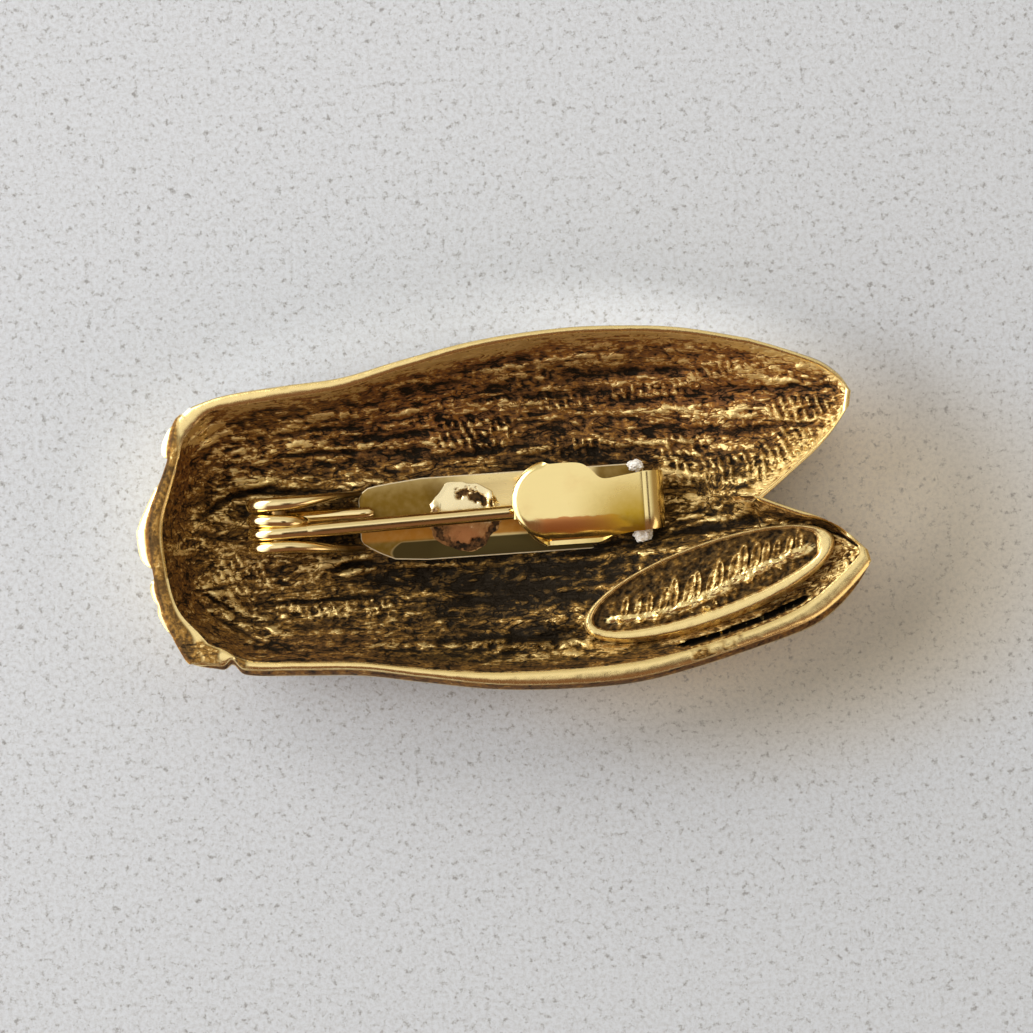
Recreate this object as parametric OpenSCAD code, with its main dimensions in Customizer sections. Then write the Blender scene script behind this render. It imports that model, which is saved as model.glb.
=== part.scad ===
// Cicada brooch, lying face down: the hollow back and the pin finding look up.
// +X runs from the head to the wing tips, +Y to the upper wing, +Z out of the hollow.

/* [Cast body] */
// Length from the head to the lower wing's tip
span = 50.2; // [46:0.1:54]
// Height of the rim above the surface, at its highest
rim_top = 8.2; // [7.9:0.1:9.2]
// Thickness of the casting at the floor of the hollow
wall = 1.15; // [1:0.05:1.3]
// Width of the polished rim
rim_w = 0.8; // [0.6:0.05:0.9]
// How far the lower flank rolls out past its rim
lower_roll = 0.9; // [0:0.05:1.1]
// How far the upper flank rolls out past its rim
upper_roll = 0.3; // [0:0.05:0.6]
// How far the brow rolls out past the rim at the head
brow_roll = 0.8; // [0:0.05:1]
// Height of the wing veins on the front
vein_h = 0.35; // [0:0.05:0.5]
// Height of the ridges that the veins leave in the hollow
inner_vein_h = 0.18; // [0:0.02:0.3]

/* [Pin finding] */
// Height of the flat cast seat under the base plate
seat_z = 2.4; // [2.3:0.05:2.6]
// Thickness of the base plate
plate_t = 0.5; // [0.4:0.05:0.6]
// Width of the base plate
plate_w = 5.7; // [5:0.1:6.2]
// Diameter of the hole that the solder fills
hole_d = 5; // [4:0.1:5]
// Diameter of the pin wire
wire_d = 0.9; // [0.8:0.02:0.92]
// Outer diameter of the spring coil
coil_d = 3.7; // [3.4:0.1:3.9]
// Thickness of each hinge ear
ear_t = 0.85; // [0.6:0.05:0.86]
// Diameter of the hidden axle
axle_d = 1.2; // [0.8:0.1:1.4]
// Slope of the closed pin down to its catch, in degrees
pin_slope = 7.7; // [7:0.1:8]
// Angle by which the closed pin leans to the upper wing, in degrees
pin_lean = 1.2; // [0:0.1:1.5]
// How far the pin is swung out of its catch, in degrees
pin_swing = 0; // [0:5:180]

/* [Catch] */
// Width of the strap that folds over into the catch
strap_w = 4.3; // [3.8:0.1:4.5]
// Thickness of the folded strap
strap_t = 0.45; // [0.4:0.05:0.5]
// Height of the catch's underside above the base plate
catch_gap = 1.8; // [1.75:0.05:2]

/* [Oval plaque] */
// Length of the plaque
plaque_l = 18; // [16:0.1:18.4]
// Width of the plaque
plaque_w = 5.4; // [4.6:0.1:5.6]
// Thickness of the plaque at its sunk field
plaque_t = 0.6; // [0.5:0.05:0.9]
// Height of the plaque's raised edge above the field
plaque_lip = 0.3; // [0.2:0.05:0.4]

/* [Hidden] */
$fn = 64;
gap = 0.05;
stretch = span / 50.2;
mid_y = 0.15;

// Side edges of the body as they show from above
// x, upper y, lower y
sides = [
    [-21.6, 8.5, -8.9],
    [-18.7, 9.3, -9.85],
    [-14.6, 9.7, -10.15],
    [-10.4, 10, -10.45],
    [-6.3, 10.9, -11.2],
    [-1, 11.9, -12.1],
    [4.8, 12.35, -12.4],
    [9, 12.25, -12.2],
    [13, 11.85, -11.4],
    [17.2, 10.95, -10.3]
];

// Each free wing end, from the fork to the tip
// step, outer x, outer y, inner x, inner y
upper_wing = [
    [0, 17.2, 10.95, 17.2, 0.15],
    [1, 19.2, 10.25, 18.7, 1.1],
    [2, 21.1, 9.5, 20.3, 1.95],
    [3, 22.6, 8.8, 21.8, 2.9],
    [4, 23.8, 7.8, 23.1, 4.1],
    [5, 24.5, 6.7, 24.3, 5.7]
];
lower_wing = [
    [0, 17.2, -10.3, 17.2, 0.15],
    [1, 19.4, -9.65, 18.6, -1.1],
    [2, 21.1, -8.95, 19.9, -2.05],
    [3, 22.6, -7.95, 21.6, -2.25],
    [4, 24, -6.7, 23.3, -3.15],
    [5, 25.1, -5.5, 24.9, -4.7]
];

// Heights along the body, below the rim's highest point and above the surface
// x, rim below top, front above surface
heights = [
    [-25, 1.6, 1.6],
    [-20, 1, 1.2],
    [-12, 0.25, 0.85],
    [-4, 0, 0.8],
    [4, 0.15, 0.8],
    [12, 0.8, 1.2],
    [18, 1.7, 2.1],
    [22, 2.3, 3],
    [25.1, 2.8, 4]
];

// Domes of the cast front
// x, y, length, width, height
domes = [
    [-20.2, 6.6, 2.4, 2.4, 1.9],
    [-20.2, -6.6, 2.4, 2.4, 1.9],
    [-21.5, 0, 2, 3, 0.8],
    [-17.4, 0, 0.8, 9, -0.7],
    [-15.3, 3.6, 1.2, 4, 0.35],
    [-15.3, -3.6, 1.2, 4, 0.35],
    [-13.1, 0, 0.8, 9, -0.6],
    [-9.8, 4.4, 3, 2.4, 0.85],
    [-9.8, -4.4, 3, 2.4, 0.85],
    [-8.2, 0, 2.6, 1.6, 0.5],
    [-4.8, 0, 0.9, 4, -0.5],
    [7, 0.15, 11, 0.9, -0.55],
    [8, 5.2, 9, 2.8, 0.5],
    [8, -5.2, 9, 2.8, 0.5]
];

// The grid of the casting: rows from head to tips, columns from one side to the other
body_rows = 31;
wing_rows = 15;
rows = body_rows + wing_rows;
half_cols = 20;
cols = 2 * half_cols;
vein_cols = [6, 9, 12, 15, 18];
cross_vein_rows = [22, 26, 30, 34, 38];
head_x = -24.75;
fork_x = 17.2;
flank_power = 4.5;
nose_len = 12;
fork_len = 4.7;
roll_span = 0.09;

// Where the finding sits
plate_mid_y = -0.05;
plate_x0 = -9.9;
plate_x1 = 9.9;
plate_z = seat_z + gap;
plate_top = plate_z + plate_t;
hole_x = -2.75;
coil_x = -15.45;
coil_r = (coil_d - wire_d) / 2;
coil_z = plate_top + wire_d / 2 + gap + coil_r;
turn_y = [0.65, -0.35];
ear_y = [1.62, -1.32];

// The pin's own axis, from the coil's second turn to the catch
pin_root = [
    coil_x + coil_r * sin(pin_slope),
    turn_y[1],
    coil_z + coil_r * cos(pin_slope)
];
pin_dir = [
    cos(pin_slope) * cos(pin_lean),
    cos(pin_slope) * sin(pin_lean),
    -sin(pin_slope)
];
side_dir = [-sin(pin_lean), cos(pin_lean), 0];
up_dir = cross(pin_dir, side_dir);

// Half a turn about this slanted axis leads the pin from closed to open:
// first sideways out of the catch, then up
open_angle = 40;
hinge_axis = cos(open_angle / 2) * pin_dir + 0.04 * side_dir + sin(open_angle / 2) * up_dir;
hinge_at = 1.9;
hinge_point = pin_root + pin_dir * hinge_at;
open_from = 5.3;
open_to = 16;
tip_at = 21.6;

// The catch
strap_z = plate_top + catch_gap;
fold_r = (strap_z + strap_t - plate_z) / 2;
fold_x = 10.75 - fold_r;
spade_x = [3.35, 4.9];
spade_y = 0.65;
spade_r = 2.45;
lip_r = 1.3;

// The plaque's middle, its turn in plan and its lean towards the wing tip
plaque_at = [13.9, -5.85, 5.05];
plaque_turn = 15.3;
plaque_lean = 0.6;

function clamp(v) = min(max(v, 0), 1);
function ease(v) = let (c = clamp(v)) c * c * (3 - 2 * c);
function dome(v) = exp(-v * v);

// Smooth curve through column c of a table whose first column rises
function stretch_at(t, x, k = 0) =
    k >= len(t) - 2 || x < t[k + 1][0] ? k : stretch_at(t, x, k + 1);
function slope_at(t, k, c) =
    let (a = max(k - 1, 0), b = min(k + 1, len(t) - 1))
    (t[b][c] - t[a][c]) / (t[b][0] - t[a][0]);
function smooth(t, x, c) =
    let (
        k = stretch_at(t, x),
        h = t[k + 1][0] - t[k][0],
        u = clamp((x - t[k][0]) / h),
        m0 = slope_at(t, k, c) * h,
        m1 = slope_at(t, k + 1, c) * h,
        v0 = t[k][c],
        v1 = t[k + 1][c]
    )
    v0 + u * m0 + u * u * (3 * (v1 - v0) - 2 * m0 - m1)
        + u * u * u * (2 * (v0 - v1) + m0 + m1);

// Row positions: the body's middle line, its side edges, and a wing's two edges
function row_x(i) = head_x + (fork_x - head_x) * pow(min(i, body_rows) / body_rows, 1.3);
function bow(i) = 3 * pow(1 - i / body_rows, 6);
function wing_of(side) = side == 0 ? upper_wing : lower_wing;
function outer_edge(i, side) =
    i > body_rows
        ? let (s = 5 * (i - body_rows) / wing_rows)
            [smooth(wing_of(side), s, 1), smooth(wing_of(side), s, 2)]
        : let (x = row_x(i) + bow(i))
            [x, smooth(sides, x, side + 1)];
function inner_edge(i, side) =
    i > body_rows
        ? let (s = 5 * (i - body_rows) / wing_rows)
            [smooth(wing_of(side), s, 3), smooth(wing_of(side), s, 4)]
        : [row_x(i), mid_y];
function across(i, w, side) =
    let (
        a = outer_edge(i, side),
        b = inner_edge(i, side),
        lag = i > body_rows ? w : sin(90 * pow(w, 0.85))
    )
    [a[0] + (b[0] - a[0]) * lag, a[1] + (b[1] - a[1]) * w];

// How far the casting has fallen from the rim, from 0 at its edges to 1 at the middle
function flank(w) = 1 - pow(1 - w, flank_power);
function forked(i) = i > body_rows ? 1 : ease((row_x(i) - fork_x + fork_len) / fork_len);
function fork_wall(i, w) = 1 - pow(w, flank_power) * forked(i);
function nose(i) = 1 - pow(1 - clamp((row_x(i) - head_x) / nose_len), 3.5);
function tail(i) = i > body_rows ? 1 - pow(1 - clamp(1.5 * (rows - i) / wing_rows), 3) : 1;
function fall(i, w) = flank(w) * fork_wall(i, w) * nose(i) * tail(i);
function rim_z(x) = rim_top - smooth(heights, x, 1);
function front_z(x) = smooth(heights, x, 2);

// Cast relief of the front: domes, veins along the columns and cross veins
function dome_sum(x, y, k = 0) =
    k == len(domes) ? 0
        : domes[k][4] * dome((x - domes[k][0]) / domes[k][2]) * dome((y - domes[k][1]) / domes[k][3])
            + dome_sum(x, y, k + 1);
function is_in(v, list) = len([for (e = list) if (e == v) 1]) > 0;
function vein(i, j) =
    let (c = j > half_cols ? cols - j : j)
    is_in(c, vein_cols) ? 1 : is_in(i, cross_vein_rows) && c > 5 ? 0.45 : 0;
function wing_part(x) = ease((x + 9) / 4);
function relief(p, i, j) = dome_sum(p[0], p[1]) + vein_h * vein(i, j) * wing_part(p[0]);

// One point of the outer skin
function roll_of(side) = side == 0 ? upper_roll : -lower_roll;
function outer_point(i, j, side) =
    let (
        w = pow((j > half_cols ? cols - j : j) / half_cols, 1.5),
        p = across(i, w, side),
        out = sin(180 * clamp(w / roll_span)) * roll_of(side) * nose(i) * tail(i),
        brow = -sin(180 * clamp(i / 2.1)) * brow_roll,
        f = fall(i, w),
        z = rim_z(p[0]) - (rim_z(p[0]) - front_z(p[0])) * f - relief(p, i, j) * f
    )
    [(p[0] + brow) * stretch, p[1] + out - inset_of(side), max(z, 0)];
function inset_of(side) = side == 0 ? 0 : -0.46 * lower_roll;

// Seats in the hollow: a flat under the base plate and a slanted one under the plaque
function in_plate(x, y) = abs(x - 0.4) < 11.2 && abs(y - plate_mid_y) < plate_w / 2 + 0.35;
function plaque_plane(x, y) =
    let (
        dx = (x - plaque_at[0]) * cos(plaque_turn) + (y - plaque_at[1]) * sin(plaque_turn)
    )
    plaque_at[2] - dx * tan(plaque_lean) - gap;
function in_plaque(x, y, grow) =
    let (
        dx = (x - plaque_at[0]) * cos(plaque_turn) + (y - plaque_at[1]) * sin(plaque_turn),
        dy = (y - plaque_at[1]) * cos(plaque_turn) - (x - plaque_at[0]) * sin(plaque_turn)
    )
    pow(2 * dx / (plaque_l + grow), 2) + pow(2 * dy / (plaque_w + grow), 2) < 1;
function seated(x, y, z) =
    in_plate(x, y) ? seat_z
        : in_plaque(x, y, -1.6) ? plaque_plane(x, y)
        : in_plaque(x, y, 0.7) ? min(z, plaque_plane(x, y) - 0.15)
        : z;

// One point of the hollow's skin, which keeps the rim's width inside the outer edge
function inner_point(i, j, side) =
    let (
        w = pow((j > half_cols ? cols - j : j) / half_cols, 1.5),
        r = i > body_rows ? body_rows + (i - body_rows) * 0.91 : i,
        a = outer_edge(r, side),
        b = inner_edge(r, side),
        edge = rim_w / norm(b - a),
        free = i > body_rows ? 1 : 0,
        p = across(r, edge + (1 - edge * (1 + free)) * w, side),
        head = rim_w * clamp(1 - i / 4),
        fork = i > body_rows ? 0 : 1.1 * rim_w * forked(i) * pow(w, 6),
        x = p[0] + head - fork,
        y = p[1] - inset_of(side),
        deep = rim_z(x) - front_z(x) - wall,
        ridge = inner_vein_h * vein(i, j) * wing_part(x),
        z = rim_z(x) - deep * fall(i, w) + ridge * pow(fall(i, w), 3)
    )
    [x * stretch, y, seated(x, y, z)];

// Numbering of the grid's points: a body row is whole, a wing row is in two halves
row_len = cols + 1;
skin_len = (body_rows + 1) * row_len + wing_rows * (row_len + 1);
function id(i, j, side) =
    i <= body_rows
        ? i * row_len + j
        : (body_rows + 1) * row_len + (i - body_rows - 1) * (row_len + 1) + j + side;
function skin(inner) = [
    for (i = [0:rows], side = [0, 1], j = [0:half_cols])
        if (i > body_rows || side == 0 || j > 0)
            let (c = side * half_cols + j)
                inner ? inner_point(i, c, side) : outer_point(i, c, side)
];
function side_of(j) = j < half_cols ? 0 : 1;
function quads(base, flip) = [
    for (i = [0:rows - 1], j = [0:cols - 1])
        let (
            s = side_of(j),
            a = base + id(i, j, s),
            b = base + id(i, j + 1, s),
            c = base + id(i + 1, j + 1, s),
            d = base + id(i + 1, j, s),
            tri = s == 0 ? [[a, b, c], [a, c, d]] : [[a, b, d], [b, c, d]]
        )
        each [for (t = tri) flip ? [t[2], t[1], t[0]] : t]
];
edge_loop = [
    for (i = [0:rows]) id(i, 0, 0),
    for (j = [1:half_cols]) id(rows, j, 0),
    for (i = [rows - 1:-1:body_rows + 1]) id(i, half_cols, 0),
    id(body_rows, half_cols, 0),
    for (i = [body_rows + 1:rows]) id(i, half_cols, 1),
    for (j = [half_cols + 1:cols]) id(rows, j, 1),
    for (i = [rows - 1:-1:0]) id(i, cols, 1),
    for (j = [cols - 1:-1:1]) id(0, j, 0)
];
rim_faces = [
    for (k = [0:len(edge_loop) - 1])
        let (
            a = edge_loop[k],
            b = edge_loop[(k + 1) % len(edge_loop)]
        )
        each [[a, b, a + skin_len], [b, b + skin_len, a + skin_len]]
];

module shell() {
    color("#8a6a34")
        polyhedron(
            points = concat(skin(false), skin(true)),
            faces = concat(quads(0, false), quads(skin_len, true), rim_faces),
            convexity = 12
        );
}

// Points round an oval
function oval(l, w, n = 48) = [for (k = [0:n - 1]) [l / 2 * cos(360 * k / n), w / 2 * sin(360 * k / n)]];

module oval_plaque() {
    color("#c9a45a")
        translate(plaque_at)
            rotate([0, 0, plaque_turn])
                rotate([0, plaque_lean, 0])
                    difference() {
                        linear_extrude(plaque_t + plaque_lip) polygon(oval(plaque_l, plaque_w));
                        translate([0, 0, plaque_t])
                            linear_extrude(1) polygon(oval(plaque_l - 1.3, plaque_w - 1.3));
                    }
}

module on_side(y0, thick) {
    translate([0, y0 + thick / 2, 0]) rotate([90, 0, 0]) linear_extrude(thick) children();
}

module plate_outline() {
    half = plate_w / 2;
    translate([0, plate_mid_y])
        polygon([
            [plate_x0, 1.9],
            [plate_x0 + 1.8, half - 0.45],
            [plate_x0 + 4, half],
            [plate_x1 - 0.4, half],
            [plate_x1, half - 0.4],
            [plate_x1, 0.4 - half],
            [plate_x1 - 0.4, -half],
            [plate_x0 + 4, -half],
            [plate_x0 + 1.8, 0.45 - half],
            [plate_x0, -1.9]
        ]);
}

// One hinge ear: a disc round the axle that runs down to the plate's end
module ear(y) {
    difference() {
        on_side(y, ear_t)
            hull() {
                translate([coil_x, coil_z]) circle(r = coil_d / 2, $fn = 32);
                translate([plate_x0 - 0.6, plate_z]) square([0.9, plate_t]);
            }
        translate([coil_x, y + 1, coil_z]) rotate([90, 0, 0]) cylinder(d = axle_d + 0.06, h = 2);
    }
}

// The catch seen from above
module spade() {
    top = spade_y + spade_r;
    translate([spade_x[0], spade_y]) circle(r = spade_r);
    translate([spade_x[1], spade_y]) circle(r = spade_r);
    polygon([
        [spade_x[0], top],
        [spade_x[1], top],
        [spade_x[1] + 1.2, top - 0.3],
        [7.3, plate_mid_y + strap_w / 2],
        [fold_x, plate_mid_y + strap_w / 2],
        [fold_x, plate_mid_y - strap_w / 2],
        [7.1, spade_y - spade_r],
        [spade_x[0], spade_y - spade_r]
    ]);
}

// The catch seen along the pin: flat, with its lower side rolled down
module rolled_strap() {
    bend_y = spade_y - spade_r + lip_r;
    top = strap_z + strap_t;
    translate([bend_y, strap_z]) square([6, strap_t]);
    translate([bend_y, top - lip_r])
        intersection() {
            difference() {
                circle(r = lip_r);
                circle(r = lip_r - strap_t);
            }
            translate([-lip_r, 0]) square(lip_r);
        }
}

module fold() {
    on_side(plate_mid_y, strap_w)
        translate([fold_x, plate_z + fold_r])
            intersection() {
                difference() {
                    circle(r = fold_r);
                    circle(r = fold_r - strap_t);
                }
                translate([0, -fold_r]) square([fold_r, 2 * fold_r]);
            }
}

module catch_tab() {
    roll_end = 7.1;
    intersection() {
        translate([0, 0, plate_top]) linear_extrude(4) spade();
        union() {
            rotate([90, 0, 90]) linear_extrude(roll_end) rolled_strap();
            translate([roll_end, -5, strap_z]) cube([fold_x - roll_end, 10, strap_t]);
        }
    }
}

// Solder: a lumpy puddle in the hole and a bead on each corner at the fold
module solder() {
    translate([hole_x, plate_mid_y, plate_z + 0.02]) cylinder(d = hole_d, h = plate_t - 0.1);
    intersection() {
        translate([hole_x, plate_mid_y, plate_z + 0.1]) cylinder(d = hole_d - 0.2, h = 2);
        union() {
            for (lump = [[-1.1, 0.9, 1.5], [0.9, 0.5, 1.7], [-0.2, -1.1, 1.6]])
                translate([hole_x + lump[0], plate_mid_y + lump[1], plate_top - lump[2] + 0.22])
                    sphere(r = lump[2]);
        }
    }
    for (side = [-1, 1])
        translate([plate_x1 - 0.35, plate_mid_y + side * (plate_w / 2 - 0.35), plate_top])
            sphere(r = 0.42);
}

module base_plate() {
    color("#d9b866")
        union() {
            difference() {
                translate([0, 0, plate_z]) linear_extrude(plate_t) plate_outline();
                translate([hole_x, plate_mid_y, plate_z - 1]) cylinder(d = hole_d, h = 3);
            }
            translate([plate_x1 - 1, plate_mid_y - strap_w / 2, plate_z])
                cube([fold_x - plate_x1 + 1, strap_w, strap_t]);
            solder();
            for (y = ear_y) ear(y);
            fold();
            catch_tab();
        }
}

module hinge_axle() {
    len = ear_y[0] - ear_y[1] + ear_t;
    color("#caa552")
        translate([coil_x, (ear_y[0] + ear_y[1] + len) / 2, coil_z])
            rotate([90, 0, 0]) cylinder(d = axle_d, h = len);
}

// The coil's path: the tail on the plate, two turns, and a straight run up to the hinge
coil_steps = 18;
coil_turns = 2;
tail_x = -8.9;
end_turn = 360 * coil_turns + pin_slope - 180;
function turn_point(t) =
    let (q = clamp((t - 90) / 380))
    [
        coil_x - coil_r * sin(t),
        turn_y[0] + (turn_y[1] - turn_y[0]) * q,
        coil_z - coil_r * cos(t)
    ];
coil_path = concat(
    [[tail_x, turn_y[0] - 0.05, coil_z - coil_r], [-12, turn_y[0], coil_z - coil_r]],
    [for (k = [0:coil_steps * 1.5]) turn_point(end_turn * k / (coil_steps * 1.5))],
    [pin_root + pin_dir * (hinge_at - wire_d / 2 - gap)]
);
function path_dir(p, k) =
    let (d = p[min(k + 1, len(p) - 1)] - p[max(k - 1, 0)]) d / norm(d);

module wire(path, r, sides) {
    n = len(path);
    rings = [
        for (k = [0:n - 1])
            let (
                d = path_dir(path, k),
                v0 = cross(d, [0, 1, 0]),
                v = v0 / norm(v0),
                u = cross(v, d)
            )
            each [for (s = [0:sides - 1])
                path[k] + r * (cos(360 * s / sides) * u + sin(360 * s / sides) * v)]
    ];
    walls = [
        for (k = [0:n - 2], s = [0:sides - 1])
            let (
                a = k * sides + s,
                b = k * sides + (s + 1) % sides,
                c = b + sides,
                d = a + sides
            )
            each [[a, c, b], [a, d, c]]
    ];
    last = (n - 1) * sides;
    start = [for (s = [1:sides - 2]) [0, s, s + 1]];
    end = [for (s = [1:sides - 2]) [last, last + s + 1, last + s]];
    polyhedron(points = rings, faces = concat(walls, start, end), convexity = 10);
}

module pin_coil() {
    color("#e6c878") wire(coil_path, wire_d / 2, 8);
}

// The pin: a ball at its root, a cone, the round open stretch and a long point
module pin_stem() {
    root_r = wire_d / 2 - 0.03;
    color("#f0d68c")
        translate(hinge_point)
            rotate(pin_swing, hinge_axis)
            rotate([0, 0, pin_lean])
                rotate([0, 90 + pin_slope, 0]) {
                    sphere(r = root_r);
                    cylinder(r1 = root_r, r2 = wire_d / 2, h = open_from - hinge_at);
                    translate([0, 0, open_from - hinge_at])
                        cylinder(d = wire_d, h = open_to - open_from);
                    translate([0, 0, open_to - hinge_at])
                        cylinder(r1 = wire_d / 2, r2 = 0.12, h = tip_at - open_to);
                }
}

shell();
oval_plaque();
base_plate();
hinge_axle();
pin_coil();
pin_stem();
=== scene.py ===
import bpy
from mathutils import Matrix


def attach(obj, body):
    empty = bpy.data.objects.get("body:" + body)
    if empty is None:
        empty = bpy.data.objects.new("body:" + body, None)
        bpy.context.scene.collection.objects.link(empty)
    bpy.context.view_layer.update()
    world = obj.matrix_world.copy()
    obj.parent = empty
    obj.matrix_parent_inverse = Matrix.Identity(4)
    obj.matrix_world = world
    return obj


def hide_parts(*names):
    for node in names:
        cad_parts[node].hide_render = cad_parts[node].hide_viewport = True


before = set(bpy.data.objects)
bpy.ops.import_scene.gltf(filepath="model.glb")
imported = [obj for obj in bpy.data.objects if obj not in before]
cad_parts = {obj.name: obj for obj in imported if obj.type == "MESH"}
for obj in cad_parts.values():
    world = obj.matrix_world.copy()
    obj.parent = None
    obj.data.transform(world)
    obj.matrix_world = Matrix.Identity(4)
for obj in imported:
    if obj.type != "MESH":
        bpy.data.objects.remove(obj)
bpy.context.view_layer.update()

import math

import bpy
import numpy as np
from mathutils import Matrix, Vector, noise

# The object's tables are in millimetres and Blender's meshes in metres
mm = 0.001


def clearSelection():
    bpy.ops.object.select_all(action="DESELECT")


def selectOnly(*objects):
    clearSelection()
    for each in objects:
        each.select_set(True)
    bpy.context.view_layer.objects.active = objects[0]


def named(piece, name):
    piece.name = name
    piece.data.name = name
    return piece


def settle(piece):
    selectOnly(piece)
    bpy.ops.object.transform_apply(location=True, rotation=True, scale=True)


def applyModifier(piece, kind, **values):
    selectOnly(piece)
    modifier = piece.modifiers.new(kind.title(), kind)
    for key, value in values.items():
        setattr(modifier, key, value)
    bpy.ops.object.modifier_apply(modifier=modifier.name)


def smoothShade(piece, degrees):
    selectOnly(piece)
    bpy.ops.object.shade_smooth_by_angle(angle=math.radians(degrees))


# Rounds the edges sharper than an angle in radians; the width is in millimetres
def roundEdges(piece, width, steps, angle, **values):
    values.update(segments=steps, limit_method="ANGLE", angle_limit=angle)
    applyModifier(piece, "BEVEL", width=width * mm, **values)


# A value for every point that a material can read
def setMask(piece, key, values):
    layer = piece.data.attributes.new(key, "FLOAT", "POINT")
    layer.data.foreach_set("value", np.ravel(values).astype(np.float32))


# Opens a piece in edit mode with everything selected
def editAll(piece):
    selectOnly(piece)
    bpy.ops.object.mode_set(mode="EDIT")
    bpy.ops.mesh.select_all(action="SELECT")


# Turns all the faces of the piece in edit mode outwards and leaves that mode
def turnOut():
    bpy.ops.mesh.select_all(action="SELECT")
    bpy.ops.mesh.normals_make_consistent(inside=False)
    bpy.ops.object.mode_set(mode="OBJECT")


# Merges doubles closer than so many millimetres and turns all the faces outwards
def facesOut(piece, merge=0.0005):
    editAll(piece)
    bpy.ops.mesh.remove_doubles(threshold=merge * mm)
    turnOut()


# A grid primitive whose vertices are moved to the given rows of points
def layGrid(name, points, **values):
    rows, columns = points.shape[:2]
    clearSelection()
    bpy.ops.mesh.primitive_grid_add(x_subdivisions=columns - 1, y_subdivisions=rows - 1, size=1)
    sheet = named(bpy.context.object, name)
    flat = (points * mm).astype(np.float32).ravel()
    sheet.data.vertices.foreach_set("co", flat)
    for key, value in values.items():
        setMask(sheet, key, np.broadcast_to(value, (rows, columns)))
    sheet.data.update()
    return sheet


def joinPieces(pieces):
    selectOnly(*pieces)
    bpy.ops.object.join()
    return bpy.context.object


def clip01(v):
    return np.clip(v, 0, 1)


def ease(v):
    c = clip01(v)
    return c * c * (3 - 2 * c)


def dome(v):
    return np.exp(-v * v)


# Smooth curve through one column of a table whose first column rises
def curveAt(table, column, x):
    t = np.array(table, float)
    xs, vs = t[:, 0], t[:, column]
    before = np.maximum(np.arange(len(xs)) - 1, 0)
    after = np.minimum(np.arange(len(xs)) + 1, len(xs) - 1)
    slopes = (vs[after] - vs[before]) / (xs[after] - xs[before])
    k = np.clip(np.searchsorted(xs, x, side="right") - 1, 0, len(xs) - 2)
    h = xs[k + 1] - xs[k]
    u = clip01((x - xs[k]) / h)
    m0, m1 = slopes[k] * h, slopes[k + 1] * h
    v0, v1 = vs[k], vs[k + 1]
    return v0 + u * m0 + u**2 * (3 * (v1 - v0) - 2 * m0 - m1) + u**3 * (2 * (v0 - v1) + m0 + m1)


# Fractal noise at every point; the scales are features per millimetre
def grain(x, y, scaleX, scaleY, seed, octaves=2):
    values = [
        noise.fractal(Vector((a * scaleX, b * scaleY, seed)), 0.9, 2.1, octaves)
        for a, b in zip(np.ravel(x), np.ravel(y))
    ]
    return np.array(values).reshape(np.shape(x))


# Mean over a square of cells on both sides of each cell
def blurred(field, reach):
    out = field
    for axis in (0, 1):
        padded = np.concatenate(
            [
                np.repeat(out.take([0], axis), reach, axis),
                out,
                np.repeat(out.take([-1], axis), reach, axis),
            ],
            axis,
        )
        total = np.cumsum(padded, axis)
        zero = np.zeros_like(total.take([0], axis))
        total = np.concatenate([zero, total], axis)
        width = 2 * reach + 1
        count = out.shape[axis]
        high = total.take(range(width, width + count), axis)
        low = total.take(range(0, count), axis)
        out = (high - low) / width
    return out


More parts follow.
